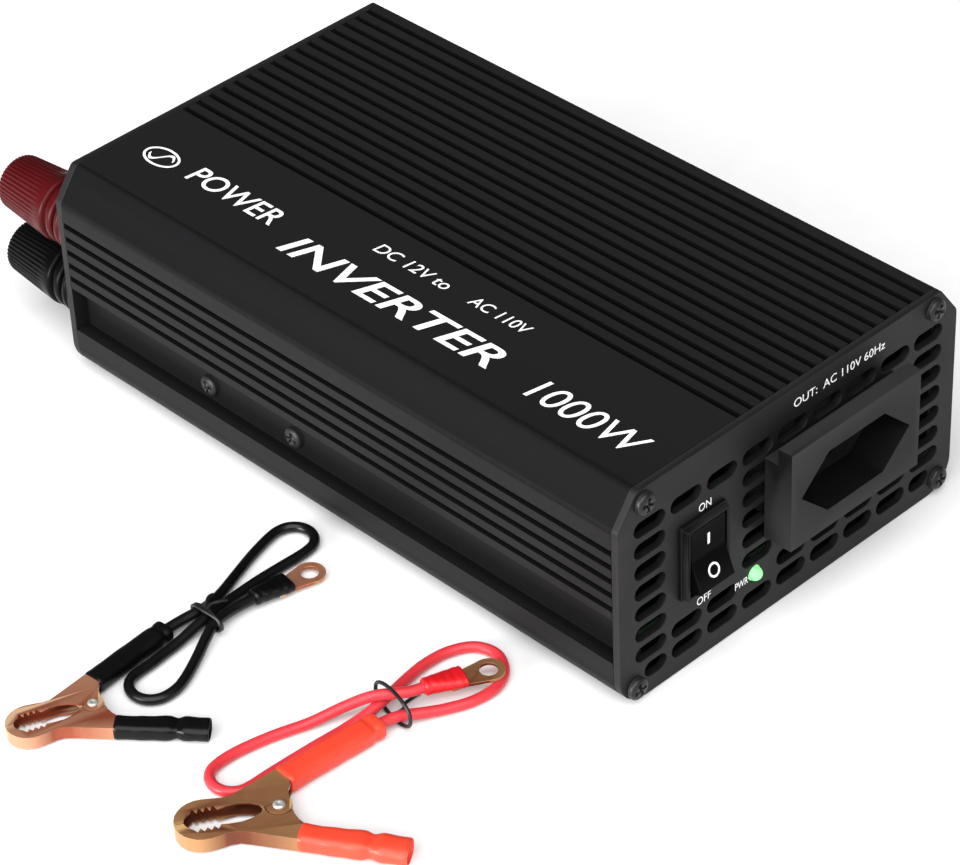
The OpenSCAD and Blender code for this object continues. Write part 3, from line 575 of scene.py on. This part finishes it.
def has_slot(k, row):
    """Whether the vent grid's column k and row has a slot: none under the socket or the switch."""
    return (row == 1 or (abs(k) == 4 and row < 8) or (k == -1 and row < 7)
            or (row == 7 and k != -1) or (row == 8 and abs(k) < 4))


def rectangle(cx, cz, w, h):
    x0, x1, z0, z1 = cx - w / 2, cx + w / 2, cz - h / 2, cz + h / 2
    return [(x0, z0), (x1, z0), (x1, z1), (x0, z1)]


def screw_holes(places):
    return [circle(x, z, SCREW_HOLE_R, 24) for x, z in places]


front_holes = [
    stadium(SLOT_PITCH * k, TOP_ROW_Z - ROW_PITCH * (row - 1), SLOT_LEN, SLOT_H)
    for k in range(-4, 5) for row in range(1, 9) if has_slot(k, row)
]
# The lowest row ends in a shorter slot on each side
front_holes += [stadium(s * 44.6, TOP_ROW_Z - ROW_PITCH * 7, SLOT_LEN - 2.8, SLOT_H) for s in (-1, 1)]
front_holes += [rectangle(*SOCKET_C, 39.1, 18.3), rectangle(*SWITCH_C, 13.1, 19.3),
                circle(*LED_C, 2.1)]
front_holes += screw_holes(PANEL_SCREWS)
front = plate("front_panel_form", case_outline(False), front_holes, FRONT_Y, PLATE_T, 0.2)
finish_piece(front, "inverter", "panel_paint", "front_panel")


def vent_parts():
    """Ring-shaped vents cut into quarters by four spokes."""
    ring_w, half_spoke = 3, 1.6
    out = []
    for r in (6, 11, 16, 20.5):
        inner = math.degrees(math.asin(half_spoke / r))
        outer = math.degrees(math.asin(half_spoke / (r + ring_w)))
        for a in (45, 135, 225, 315):
            out.append(arc(*FAN_C, r + ring_w, a + outer, a + 90 - outer, 16)
                       + arc(*FAN_C, r, a + 90 - inner, a + inner, 16))
    return out


rear_holes = vent_parts() + screw_holes(FAN_SCREWS)
rear_holes += [circle(POST_X, z, 4.45) for z in POST_Z] + screw_holes(PANEL_SCREWS)
rear = plate("rear_panel_form", case_outline(False), rear_holes, REAR_Y - PLATE_T, PLATE_T, 0.2)
finish_piece(rear, "inverter", "panel_paint", "rear_panel")

# ---------- screws ----------

CROSS_HALF = 0.62


def screw_mesh(head_r, head_h, shank_r, length):
    """A domed screw along +Y from its seat at y=0, head towards -Y, with a tapered cross recess."""
    rim, pitch = 0.5, 0.45
    profile = [(0.02, -head_h)]
    for a in (12, 24, 36, 48, 60, 72, 82, 89):
        dome = math.cos(math.radians(a)) ** 0.6
        profile.append((head_r * math.sin(math.radians(a)), -rim - (head_h - rim) * dome))
    profile += [(head_r, -0.1), (head_r - 0.1, 0), (shank_r, 0)]
    turn = 0
    while turn * pitch < length - 1:
        profile += [(shank_r, 0.2 + turn * pitch), (shank_r - 0.22, 0.42 + turn * pitch)]
        turn += 1
    profile += [(shank_r - 0.5, length), (0.02, length)]
    body = turned("screw", 0, 0, 0, profile, 40)
    cutters = []
    for angle in (0, 90):
        wedge = mesh_from("cut", [
            (sx * (head_r * 0.95 if y < -1 else 0.7), y, sz * (CROSS_HALF if y < -1 else 0.36))
            for sx, sz in CORNERS for y in (-head_h - 0.5, -head_h + 1.15)
        ], [(0, 1, 3, 2), (4, 6, 7, 5), (0, 4, 5, 1), (2, 3, 7, 6), (0, 2, 6, 4), (1, 5, 7, 3)])
        wedge.data.transform(Matrix.Rotation(math.radians(angle), 4, "Y"))
        cutters.append(wedge)
    for cutter in cutters:
        m = body.modifiers.new("cut", "BOOLEAN")
        m.object = cutter
        m.solver = "EXACT"
    mesh = baked(body)
    for cutter in cutters:
        bpy.data.objects.remove(cutter)
    # Faces of the recess take the second material, a near-black painted shade inside the cross
    for face in mesh.polygons:
        x, y, z = face.center / MM
        in_cross = min(abs(x), abs(z)) < CROSS_HALF and math.hypot(x, z) < head_r * 0.8 and y < 0
        wall, bottom = abs(face.normal.y) < 0.8, y > 0.75 - head_h
        face.material_index = 1 if in_cross and (wall or bottom) else 0
    return mesh


def screw_set(node, mesh, places):
    """Copies one screw to each place: (x, y, z, turn about Z in degrees, twist)."""
    parts = []
    for x, y, z, turn, twist in places:
        o = new_object("part", mesh.copy())
        o.matrix_world = (Matrix.Translation((x * MM, y * MM, z * MM))
                          @ Matrix.Rotation(math.radians(turn), 4, "Z")
                          @ Matrix.Rotation(math.radians(twist), 4, "Y"))
        parts.append(o)
    bpy.context.view_layer.update()
    obj = joined(node + "_form", parts)
    smooth_by_angle(obj, 38)
    finish_piece(obj, "inverter", "black_screw", node)
    obj.data.materials.append(MATERIALS["recess_painted_shade"])


panel_screw = screw_mesh(2.8, 1.8, 1.3, 10)
TWISTS = (8, -14, 21, 3)
screw_set("front_panel_screws", panel_screw,
          [(x, FRONT_Y, z, 0, t) for (x, z), t in zip(PANEL_SCREWS, TWISTS)])
screw_set("rear_panel_screws", panel_screw,
          [(x, REAR_Y, z, 180, t) for (x, z), t in zip(PANEL_SCREWS, TWISTS)])
screw_set("side_screws", screw_mesh(2.75, 1.8, 1.4, 10),
          [(s * 51.8, y, 17.1, 90 * s, t)
           for s, y, t in ((-1, 4.6, 10), (-1, 34.6, -20), (1, 4.6, 32), (1, 34.6, -6))])
screw_set("fan_screws", screw_mesh(2.6, 1.8, 1.4, 11),
          [(x, REAR_Y, z, 180, 17 * sx + 9 * sz)
           for (x, z), (sx, sz) in zip(FAN_SCREWS, CORNERS)])

# ---------- socket, switch and lamp ----------

refined("socket_housing", "inverter", "socket_plastic", 0.35)
refined("socket_insert", "inverter", "socket_plastic", 0.2)
refined("socket_contacts", "inverter", "contact_brass", 0.1, 2)


def switch_frame(name, outer, corner, window, proud, depth, edge):
    """A rectangular frame that starts this far in front of the panel."""
    return plate(name, rounded(rectangle(*SWITCH_C, *outer), corner),
                 [rectangle(*SWITCH_C, *window)], FRONT_Y - proud, depth, edge)


housing = joined("switch_housing_form", [
    switch_frame("flange", (15, 20.8), 0.8, (12.6, 18.6), 0.9, 0.9, 0.2),
    switch_frame("rim", (13.8, 19.6), 0.6, (11.4, 17.9), 2.2, 1.5, 0.25),
    switch_frame("barrel", (13, 19.2), 0.6, (11.4, 17.9), 0.6, 14.6, 0.1),
])
smooth_by_angle(housing, 50)
finish_piece(housing, "inverter", "switch_plastic", "switch_housing")

ROCKER_TILT = 11
rocker_frame = (Matrix.Translation((SWITCH_C[0] * MM, FRONT_Y * MM, SWITCH_C[1] * MM))
                @ Matrix.Rotation(math.radians(-ROCKER_TILT), 4, "X"))


def add_rocker():
    """A rocker whose ends stand proud of the finger hollows."""
    outer = rounded([
        (-2.1, 0), (-3.7, 8), (-1.5, 8.6), (2, 8.3), (3.8, 4), (2.6, 3.6),
        (2.6, -3.6), (3.8, -4), (2, -8.3), (-1.5, -8.6), (-3.7, -8)], 0.5)
    half = 5.5
    points = [(s * half, u, v) for s in (-1, 1) for u, v in outer]
    n = len(outer)
    faces = [tuple(range(n)), tuple(range(2 * n - 1, n - 1, -1))]
    faces += [(k, (k + 1) % n, n + (k + 1) % n, n + k) for k in range(n)]
    obj = mesh_from("rocker_form", points, faces)
    obj.data.transform(rocker_frame)
    bevelled(obj, 0.3, 3, 50)
    return finish_piece(obj, "rocker", "switch_plastic", "switch_rocker")


add_rocker()


# A capital's share of the font's size, and half the thickness of the printing
CAPITAL, INK = 0.69, 0.012


def lettering(name, text, size, origin, right, up, body,
              shear=0.0, weight=0.0, spacing=1.0, width=1.0):
    """Printed text whose capitals are `size` mm tall, starting at origin, reading along `right`."""
    data = bpy.data.curves.new(name, "FONT")
    data.body = text
    data.size = size / CAPITAL
    data.shear = shear
    data.offset = weight
    data.space_character = spacing
    data.extrude = INK
    data.resolution_u = 6
    printed(name, baked(new_object(name, data)), origin, right, up, body, width=width)


def printed(name, mesh, origin, right, up, body, lift=0.03, width=1.0):
    """Lays a flat mesh drawn in millimetres on a surface."""
    right, up = Vector(right).normalized(), Vector(up).normalized()
    out = right.cross(up)
    axes = Matrix((right, up, out)).transposed().to_4x4()
    move = Matrix.Translation((Vector(origin) + out * lift) * MM)
    mesh.transform(move @ axes @ Matrix.Diagonal((MM * width, MM, MM, 1)))
    mesh.name = name
    mesh.materials.clear()
    mesh.materials.append(PRINT)
    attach(new_object(name, mesh), body)


def flat_shape(*rings):
    """A thin plate in the X-Y plane, in millimetres, for a printed shape and its hole."""
    rings = [[(x, y, 0) for x, y in ring] for ring in rings]
    return baked(new_object("shape", flat_curve("shape", rings, INK)))


def rocker_mark(name, mesh, along):
    """Puts a mark on the rocker's upper (along > 0) or lower face."""
    slope = Vector((0, -1.6, 8 if along > 0 else -8)).normalized()
    centre = rocker_frame @ (Vector((0, -2.1, 0)) * MM + slope * abs(along) * MM)
    up = rocker_frame.to_3x3() @ (slope if along > 0 else -slope)
    printed(name, mesh, centre / MM, (1, 0, 0), up, "rocker", 0.02)


rocker_mark("mark_on", flat_shape(rectangle(0, 0, 0.75, 3.1)), 4.1)
rocker_mark("mark_off", flat_shape(circle(0, 0, 1.75), circle(0, 0, 1.25)), -4.3)

lens = turned("led_form", LED_C[0], FRONT_Y, LED_C[1], [
    (0.02, -1.8), (0.45, -1.76), (0.9, -1.58), (1.25, -1.3), (1.52, -0.9), (1.7, -0.45),
    (1.78, 0), (2, 0.3), (2, 3.5), (2.6, 3.5), (2.6, 4.5), (0.02, 4.5)], 48)
finish_piece(lens, "inverter", "lamp_green", "led_lens")
# The part behind the panel is dark
lens.data.materials.append(MATERIALS["component_black"])
for face in lens.data.polygons:
    face.material_index = 1 if face.center.y > (FRONT_Y + 0.2) * MM else 0

# ---------- DC posts ----------

KNOB_Y = 90.8
FLUTES, FLUTE_DEPTH = 46, 0.2


def knob(colour, z):
    """A knob with fine flutes that fade out towards its smooth collars."""
    body = [(7.5, 0.02), (7.9, 0.12), (8.25, 0.5), (8.3, 0.9), (8.3, 1.7), (8.15, 2.05),
            (7.6, 2.3), (7.5, 2.6), (7.55, 3.0), (8.1, 3.25), (8.55, 3.5), (8.7, 3.9)]
    body += [(8.7 - 1.4 * t / 16, 4.4 + 16.8 * t / 16) for t in range(17)]
    body += [(7.15, 21.6), (6.9, 21.9), (6.5, 22.1), (5.6, 22.2), (5.2, 22.0), (4.9, 21.95),
             (0.02, 21.95)]

    def fluted(r, h, a):
        fade = max(0.0, min(1.0, (h - 5.5) / 2.5)) * (1 if r > 6.6 else 0)
        return r - FLUTE_DEPTH * fade * abs(math.sin(FLUTES * a / 2)) ** 0.7

    obj = turned(colour + "_knob_form", POST_X, KNOB_Y, z, body, FLUTES * 8, fluted)
    smooth_by_angle(obj, 46)
    finish_piece(obj, colour + "_knob", "post_" + colour, colour + "_knob")


def post_base(colour, z):
    """A flanged base with a collar, its neck through the rear panel."""
    obj = turned(colour + "_post_base_form", POST_X, REAR_Y, z, [
        (2.05, -4), (4.4, -4), (4.4, 0), (9.3, 0), (9.5, 0.2), (9.5, 2.6), (9.35, 2.9), (8.9, 3.3),
        (8.3, 3.5), (8.1, 3.7), (8.1, 4.9), (8.2, 5.1), (8.45, 5.3), (8.5, 5.5), (8.5, 6.2),
        (8.3, 6.45), (2.05, 6.5)], 72)
    finish_piece(obj, "inverter", "post_" + colour, colour + "_post_base")


for colour, z in zip(("red", "black"), POST_Z):
    knob(colour, z)
    post_base(colour, z)
    refined(colour + "_washer", colour + "_washer", "plated_steel", 0.12, 2)
refined("dc_studs", "inverter", "contact_brass", 0.15, 2)
refined("stud_nuts", "inverter", "plated_steel", 0.15, 2)

# ---------- fan ----------

refined("fan_frame", "inverter", "fan_plastic", 0.3, 2)


HUB_Y, BLADES, BLADE_STEPS = 71, 7, 8


def fan_blade(turn):
    """A leaning, cambered blade: j runs from the hub outwards and k across the blade."""
    n = BLADE_STEPS
    points = []
    for j in range(n + 1):
        r = 12.2 + 10.3 * j / n
        pitch = math.radians(46 - 16 * j / n)
        chord = 7.4 + 2.2 * j / n
        lean = 0.28 * (j / n) ** 1.4
        for k in range(n + 1):
            u = (k / n - 0.5) * chord
            camber = 0.9 * (1 - (2 * k / n - 1) ** 2)
            a = turn + lean + u * math.cos(pitch) / r
            y = max(72.0, min(79.9, 76.0 - u * math.sin(pitch) + camber * 0.8))
            points.append((FAN_C[0] + r * math.cos(a), y, FAN_C[1] + r * math.sin(a)))
    row = n + 1
    faces = [(j * row + k, j * row + k + 1, (j + 1) * row + k + 1, (j + 1) * row + k)
             for j in range(n) for k in range(n)]
    blade = mesh_from("blade", points, faces)
    bm = bmesh.new()
    bm.from_mesh(blade.data)
    bmesh.ops.solidify(bm, geom=bm.faces[:], thickness=0.8 * MM)
    bm.to_mesh(blade.data)
    bm.free()
    return blade


def add_rotor():
    hub = turned("hub", FAN_C[0], HUB_Y, FAN_C[1], [
        (1, 0.2), (1, 2.2), (12.2, 2.2), (12.5, 2.5), (12.5, 8.3), (12.3, 8.8), (11.6, 9.2),
        (11.0, 9.25), (10.6, 9.1), (0.02, 9.1)], 72)
    blades = [fan_blade(2 * math.pi * i / BLADES) for i in range(BLADES)]
    rotor = joined("fan_rotor_form", [hub, *blades])
    smooth_by_angle(rotor, 40)
    finish_piece(rotor, "fan_rotor", "fan_plastic", "fan_rotor")


add_rotor()

# ---------- printing ----------

TO_FRONT, ACROSS, UP = (0, -1, 0), (1, 0, 0), (0, 0, 1)


def top_text(name, text, size, x, y, **style):
    lettering(name, text, size, (x, y, CASE_H), TO_FRONT, ACROSS, "inverter", **style)


top_text("print_name", "INVERTER", 7.6, -40.8, 20.4, shear=0.25, weight=0.12, spacing=0.98, width=1.46)
top_text("print_dc", "DC 12V to", 3.5, -26.2, 2.6, shear=0.15, weight=0.004, width=1.07)
top_text("print_ac", "AC 110V", 3.3, -26.0, -29.0, shear=0.12, weight=0.004)
top_text("print_power", "1000W", 7.4, -41.8, -60.5, shear=0.18, width=1.04)
top_text("print_kind", "POWER", 6.1, -35.8, 58.2, shear=0.12, weight=0.06)


def ellipse(a, b, steps=64):
    half = steps // 2
    return [(a * math.cos(k * math.pi / half), b * math.sin(k * math.pi / half))
            for k in range(steps)]


def sine_badge():
    """A ring with a sine wave across it."""
    badge = flat_shape(ellipse(5.6, 3.6), ellipse(4.9, 2.95))
    stroke = 0.84
    top = [(x / 10, 1.9 * math.sin(x / 10 * math.pi / 4) + stroke / 2) for x in range(-38, 39, 2)]
    low = [(x, y - stroke) for x, y in reversed(top)]
    bm = bmesh.new()
    bm.from_mesh(badge)
    bm.from_mesh(flat_shape(top + low))
    bm.to_mesh(badge)
    bm.free()
    printed("print_badge", badge, (-33.8, 68.3, CASE_H), TO_FRONT, ACROSS, "inverter")


sine_badge()


def panel_text(name, text, size, x, z, width):
    lettering(name, text, size, (x, FRONT_Y, z), ACROSS, UP, "inverter", width=width)


panel_text("print_on", "ON", 2.1, -30.7, 41.5, width=0.88)
panel_text("print_off", "OFF", 2.1, -31.4, 15.3, width=0.88)
panel_text("print_lamp", "PWR", 2.0, -18.9, 12.0, width=0.7)
panel_text("print_out", "OUT:  AC 110V 60Hz", 2.2, 0.0, 52.9, width=1.06)

# ---------- leads ----------

# Place of the rivet, turn and size
CLAMPS = {"red": (-130.5, -75.5, -30.75, 1), "black": (-136.5, -20.5, -22, 0.88)}
# Place of the lug's hole, with its height, and turn
LUGS = {"red": (-68.5, -76.4, 2.8, -20), "black": (-71.5, -20.4, 0.9, -7)}
CLAMP_METAL = {"red": "clamp_bronze", "black": "clamp_copper"}
SLEEVE = {"red": "sleeve_red", "black": "sleeve_black"}
LUG_SLEEVE = {"red": "lug_red", "black": "sleeve_black"}
# A handle in the clamp's own frame; the lower one is its mirror image
HANDLE_ANGLE = math.radians(27)
HANDLE_ROOT = Vector((-7.3, 6.8, 0))
HANDLE_DIR = Vector((math.cos(HANDLE_ANGLE), math.sin(HANDLE_ANGLE), 0))
HANDLE_SIDE = Vector((-HANDLE_DIR.y, HANDLE_DIR.x, 0))
SLEEVE_START, UPPER_END, LOWER_END = 10, 36.3, 34
JAW_MID = 2.45


def placed(x, y, angle):
    return Matrix.Translation((x * MM, y * MM, 0)) @ Matrix.Rotation(math.radians(angle), 4, "Z")


def clamp_frame(colour):
    x, y, angle, size = CLAMPS[colour]
    return placed(x, y, angle) @ Matrix.Scale(size, 4)


def loft(name, sections):
    """Skins rings of equal length and closes both ends."""
    n = len(sections[0])
    points = [p for ring in sections for p in ring]
    faces = [
        (i * n + k, i * n + (k + 1) % n, (i + 1) * n + (k + 1) % n, (i + 1) * n + k)
        for i in range(len(sections) - 1) for k in range(n)
    ]
    faces += [tuple(range(n)), tuple((len(sections) - 1) * n + k for k in range(n))]
    return mesh_from(name, points, faces)


def squircle(a, b, power, steps):
    """A ring between an ellipse and a rectangle: the higher the power, the squarer it is."""
    out = []
    for k in range(steps):
        t = 2 * math.pi * k / steps
        c, s = math.cos(t), math.sin(t)
        r = (abs(c / a) ** power + abs(s / b) ** power) ** (-1 / power)
        out.append((r * c, r * s))
    return out


def bump_at(t, place, spread):
    return math.exp(-((t - place) / spread) ** 2)


def smoothstep(t):
    return t * t * (3 - 2 * t)


def handle_sleeve(colour, lower):
    """A soft sleeve: a start lip, a body that fits the handle, a pinch and a squeezed end."""
    sections = []
    count = 60
    length = (LOWER_END if lower else UPPER_END) - SLEEVE_START
    for i in range(count + 1):
        t = i / count
        s = SLEEVE_START + length * t
        lip = 0.1 * bump_at(t, 0.03, 0.03)
        a, b, mid = 3.06 + lip, 2.38 + lip, -2.5
        if lower:
            pinch = bump_at(t, 0.66, 0.05)
            ease = smoothstep(min(1, max(0, (t - 0.62) / 0.25)))
            ripple = 0.05 * math.sin(t * 27) * min(1, t * 5)
            a += 0.16 * math.sin(t * 5 - 2) + ripple - 0.42 * pinch + 0.3 * ease
            b += 0.6 * ripple - 0.5 * pinch - 0.1 * ease
            mid += 0.12 * math.sin(t * 7)
            power = 3.4 - 0.9 * ease
        else:
            crease = bump_at(t, 0.9, 0.025)
            a += 0.05 * math.sin(t * 19) * min(1, t * 5) - 0.24 * crease
            b -= 0.2 * crease
            mid += 0.08 * math.sin(t * 5)
            power = 3.4
        if i in (0, count):
            a, b = a - 0.14, b - 0.14
        sections.append([
            HANDLE_ROOT + HANDLE_DIR * s + HANDLE_SIDE * (n + mid) + Vector((0, 0, JAW_MID + z))
            for n, z in squircle(a, min(b, JAW_MID), power, 44)
        ])
    # A shallow closed end
    last = sections[-1]
    centre = sum(last, Vector()) / len(last)
    for shrink, back in ((0.93, -0.06), (0.88, 0.12), (0.84, 0.4), (0.4, 0.55), (0.01, 0.6)):
        sections.append([centre + (p - centre) * shrink - HANDLE_DIR * back for p in last])
    obj = loft("sleeve", sections)
    if lower:
        obj.data.transform(Matrix.Diagonal((1, -1, 1, 1)))
        obj.data.flip_normals()
    obj.data.transform(clamp_frame(colour))
    smooth_by_angle(obj, 50)
    node = colour + ("_lower_sleeve" if lower else "_upper_sleeve")
    obj.name = node + "_form"
    finish_piece(obj, colour + ("_jaw" if lower else "_lead"), SLEEVE[colour], node)


def jaw_piece(colour, moving):
    """The pressed jaw, cut short inside its sleeve."""
    node = colour + ("_moving_jaw" if moving else "_fixed_jaw")
    obj = copy_of(node, node + "_form")
    to_world = clamp_frame(colour) @ Matrix.Diagonal((1, -1 if moving else 1, 1, 1))
    point = to_world @ ((HANDLE_ROOT + HANDLE_DIR * 11) * MM)
    normal = (to_world.to_3x3() @ HANDLE_DIR).normalized()
    bm = bmesh.new()
    bm.from_mesh(obj.data)
    bmesh.ops.bisect_plane(bm, geom=bm.verts[:] + bm.edges[:] + bm.faces[:], plane_co=point,
                           plane_no=normal, clear_outer=True, dist=1e-7)
    bm.to_mesh(obj.data)
    bm.free()
    bevelled(obj, 0.14, 2)
    finish_piece(obj, colour + ("_jaw" if moving else "_lead"), CLAMP_METAL[colour], node)


def rivet_piece(colour):
    """A rivet with a dimpled head on top."""
    profile = [(0.02, 0.1), (0.9, 0.12), (1.28, 0.3), (1.38, 0.48), (1.38, 0.6), (0.9, 0.62),
               (0.9, 4.28), (1.4, 4.3), (1.4, 4.42), (1.3, 4.6), (1.08, 4.74), (0.82, 4.8),
               (0.56, 4.76), (0.36, 4.62), (0.02, 4.56)]
    obj = turned("rivet", 0, 0, 0, profile, 48)
    obj.data.transform(clamp_frame(colour) @ Matrix.Rotation(math.pi / 2, 4, "X"))
    obj.name = colour + "_rivet_form"
    finish_piece(obj, colour + "_lead", "plated_steel", colour + "_rivet")


def spring_piece(colour):
    """A coil of three turns round the rivet with a leg along each handle."""
    path = []
    upper, lower = math.radians(62), math.radians(-62)
    turns, steps, coil_r, half = 3, 90, 2.1, 0.6
    sweep = 2 * math.pi * turns + upper - lower
    for k in range(steps + 1):
        a = lower + sweep * k / steps
        path.append(Vector((coil_r * math.cos(a), coil_r * math.sin(a),
                            JAW_MID - half + 2 * half * k / steps)))
    start = Vector((6 * math.cos(lower), 6 * math.sin(lower), JAW_MID - half))
    end = Vector((9.5 * math.cos(upper), 9.5 * math.sin(upper), JAW_MID + half))
    path = [start, (start + path[0]) / 2, *path, (end + path[-1]) / 2, end]
    obj = tube(colour + "_spring_form", path, 0.28)
    obj.data.transform(clamp_frame(colour))
    finish_piece(obj, colour + "_lead", "plated_steel", colour + "_spring")


def lug_sleeve_piece(colour):
    """A shrunk sleeve from the round cable to the lug's flat barrel."""
    x, y, z, angle = LUGS[colour]
    start, length, count = -15.85, 9.9, 30
    sections = []
    for i in range(count + 1):
        t = i / count
        ease = smoothstep(t)
        a = 2.1 + 1.0 * ease + 0.06 * math.sin(t * 26)
        b = 1.85 - 0.45 * ease + 0.04 * math.sin(t * 31 + 1)
        if i in (0, count):
            a, b = a - 0.25, b - 0.25
        middle = 1.75 - 0.55 * ease + z
        sections.append([(start + length * t, n, middle + h)
                         for n, h in squircle(a, b, 2.4 + 0.8 * ease, 32)])
    obj = loft("lug_sleeve", sections)
    obj.data.transform(placed(x, y, angle))
    smooth_by_angle(obj, 60)
    obj.name = colour + "_lug_sleeve_form"
    finish_piece(obj, colour + "_lead", LUG_SLEEVE[colour], colour + "_lug_sleeve")


for colour in ("red", "black"):
    jaw_piece(colour, False)
    jaw_piece(colour, True)
    handle_sleeve(colour, False)
    handle_sleeve(colour, True)
    rivet_piece(colour)
    spring_piece(colour)
    lug_sleeve_piece(colour)
    refined(colour + "_lug", colour + "_lead", CLAMP_METAL[colour], 0.12, 2)


TIE_R, TAIL_R = 0.46, 0.4
# How far a wrap leans along the bundle, and how much smaller its centre line is than the tie
TIE_LEAN, TIE_INSET = 0.45, 0.95


def tie_loop(cx, cy, w, h, angle, phase):
    """A closed loop of tie wire standing round the cable's strands."""
    steps = 40
    a = math.radians(angle)
    out = []
    for k, (n, z) in enumerate(squircle(w / 2, h / 2, 2.6, steps)):
        along = TIE_LEAN * math.sin(2 * math.pi * k / steps + phase)
        out.append((cx + along * math.cos(a) - n * math.sin(a),
                    cy + along * math.sin(a) + n * math.cos(a),
                    h / 2 + 0.02 + z + 0.47))
    return out


def tie_piece(colour, cx, cy, w, h, angle, phases, tails):
    """A tie of one wrap for each phase, with loose tails."""
    parts = [
        tube("loop", tie_loop(cx, cy, w - TIE_INSET, h - TIE_INSET, angle, phase), TIE_R, closed=True)
        for phase in phases
    ]
    parts += [tube("tail", smooth_route(tail, ROUTE_STEPS), TAIL_R) for tail in tails]
    obj = joined(colour + "_tie_form", parts)
    obj.data.shade_smooth()
    finish_piece(obj, colour + "_lead", "tie_black", colour + "_tie")


tie_piece("red", -91.42, -69.61, 14.9, 7.8, -8, [0.5], [
    [(-91.3, -69.2, 0.5), (-88.4, -69.5, 0.5), (-86.5, -68.4, 0.5), (-82.4, -68.4, 0.5)]])
tie_piece("black", -99, -15.9, 10.9, 5, 0, [0.5, 3.4], [
    [(-99, -16, 4.7), (-97.2, -15.4, 5.1), (-95.0, -16.0, 4.9), (-93.2, -16.4, 4.4)],
    [(-99, -15.7, 4.7), (-97.4, -14.2, 5.2), (-95.8, -13.2, 5.2), (-94.4, -13.0, 4.9)]])

# ---------- nodes kept as they are ----------

replaced = {node for o in bpy.data.objects if "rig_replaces" in o for node in o["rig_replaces"]}
for row in frame["record"]["subparts"]:
    if row["node"] not in replaced:
        kept = nodes[row["node"]].data.materials
        kept.clear()
        kept.append(MATERIALS[row["material_slot"]])

# ---------- floor and light ----------

# In metres
FLOOR_HALF, FLOOR_DROP = 6, 0.0002
floor_mesh = bpy.data.meshes.new("floor")
floor_mesh.from_pydata([(x * FLOOR_HALF, y * FLOOR_HALF, 0)
                        for x, y in ((-1, -1), (1, -1), (1, 1), (-1, 1))], [], [(0, 1, 2, 3)])
floor_mesh.materials.append(surface("floor", (0.86, 0.86, 0.86, 1), 0.9, tint=0.01, specular=0.1, grain=0.0))
floor = new_object("floor", floor_mesh)
floor.location.z = -FLOOR_DROP


def aimed_light(name, data, direction):
    light = new_object(name, data)
    light.rotation_euler = Vector(direction).to_track_quat("-Z", "Y").to_euler()
    return light


def area_light(name, size, power, place, target):
    data = bpy.data.lights.new(name, "AREA")
    data.shape = "DISK"
    data.size = size
    data.energy = power
    aimed_light(name, data, Vector(target) - Vector(place)).location = place


def sun_light(name, strength, angle, direction):
    data = bpy.data.lights.new(name, "SUN")
    data.energy = strength
    data.angle = math.radians(angle)
    aimed_light(name, data, direction)


sun_light("key", 4.0, 70, (0.52, 0.44, -1))
area_light("left", 0.9, 42, (-1.3, 0.1, 0.12), (0, 0, 0.03))
area_light("front", 0.7, 2.4, (-0.1, -1.1, 0.5), (0, 0, 0.03))
world = bpy.data.worlds.new("studio")
world.use_nodes = True
background = world.node_tree.nodes["Background"]
background.inputs["Color"].default_value = (1, 1, 1, 1)
background.inputs["Strength"].default_value = 0.12
bpy.context.scene.world = world
bpy.context.scene.view_settings.view_transform = "Standard"
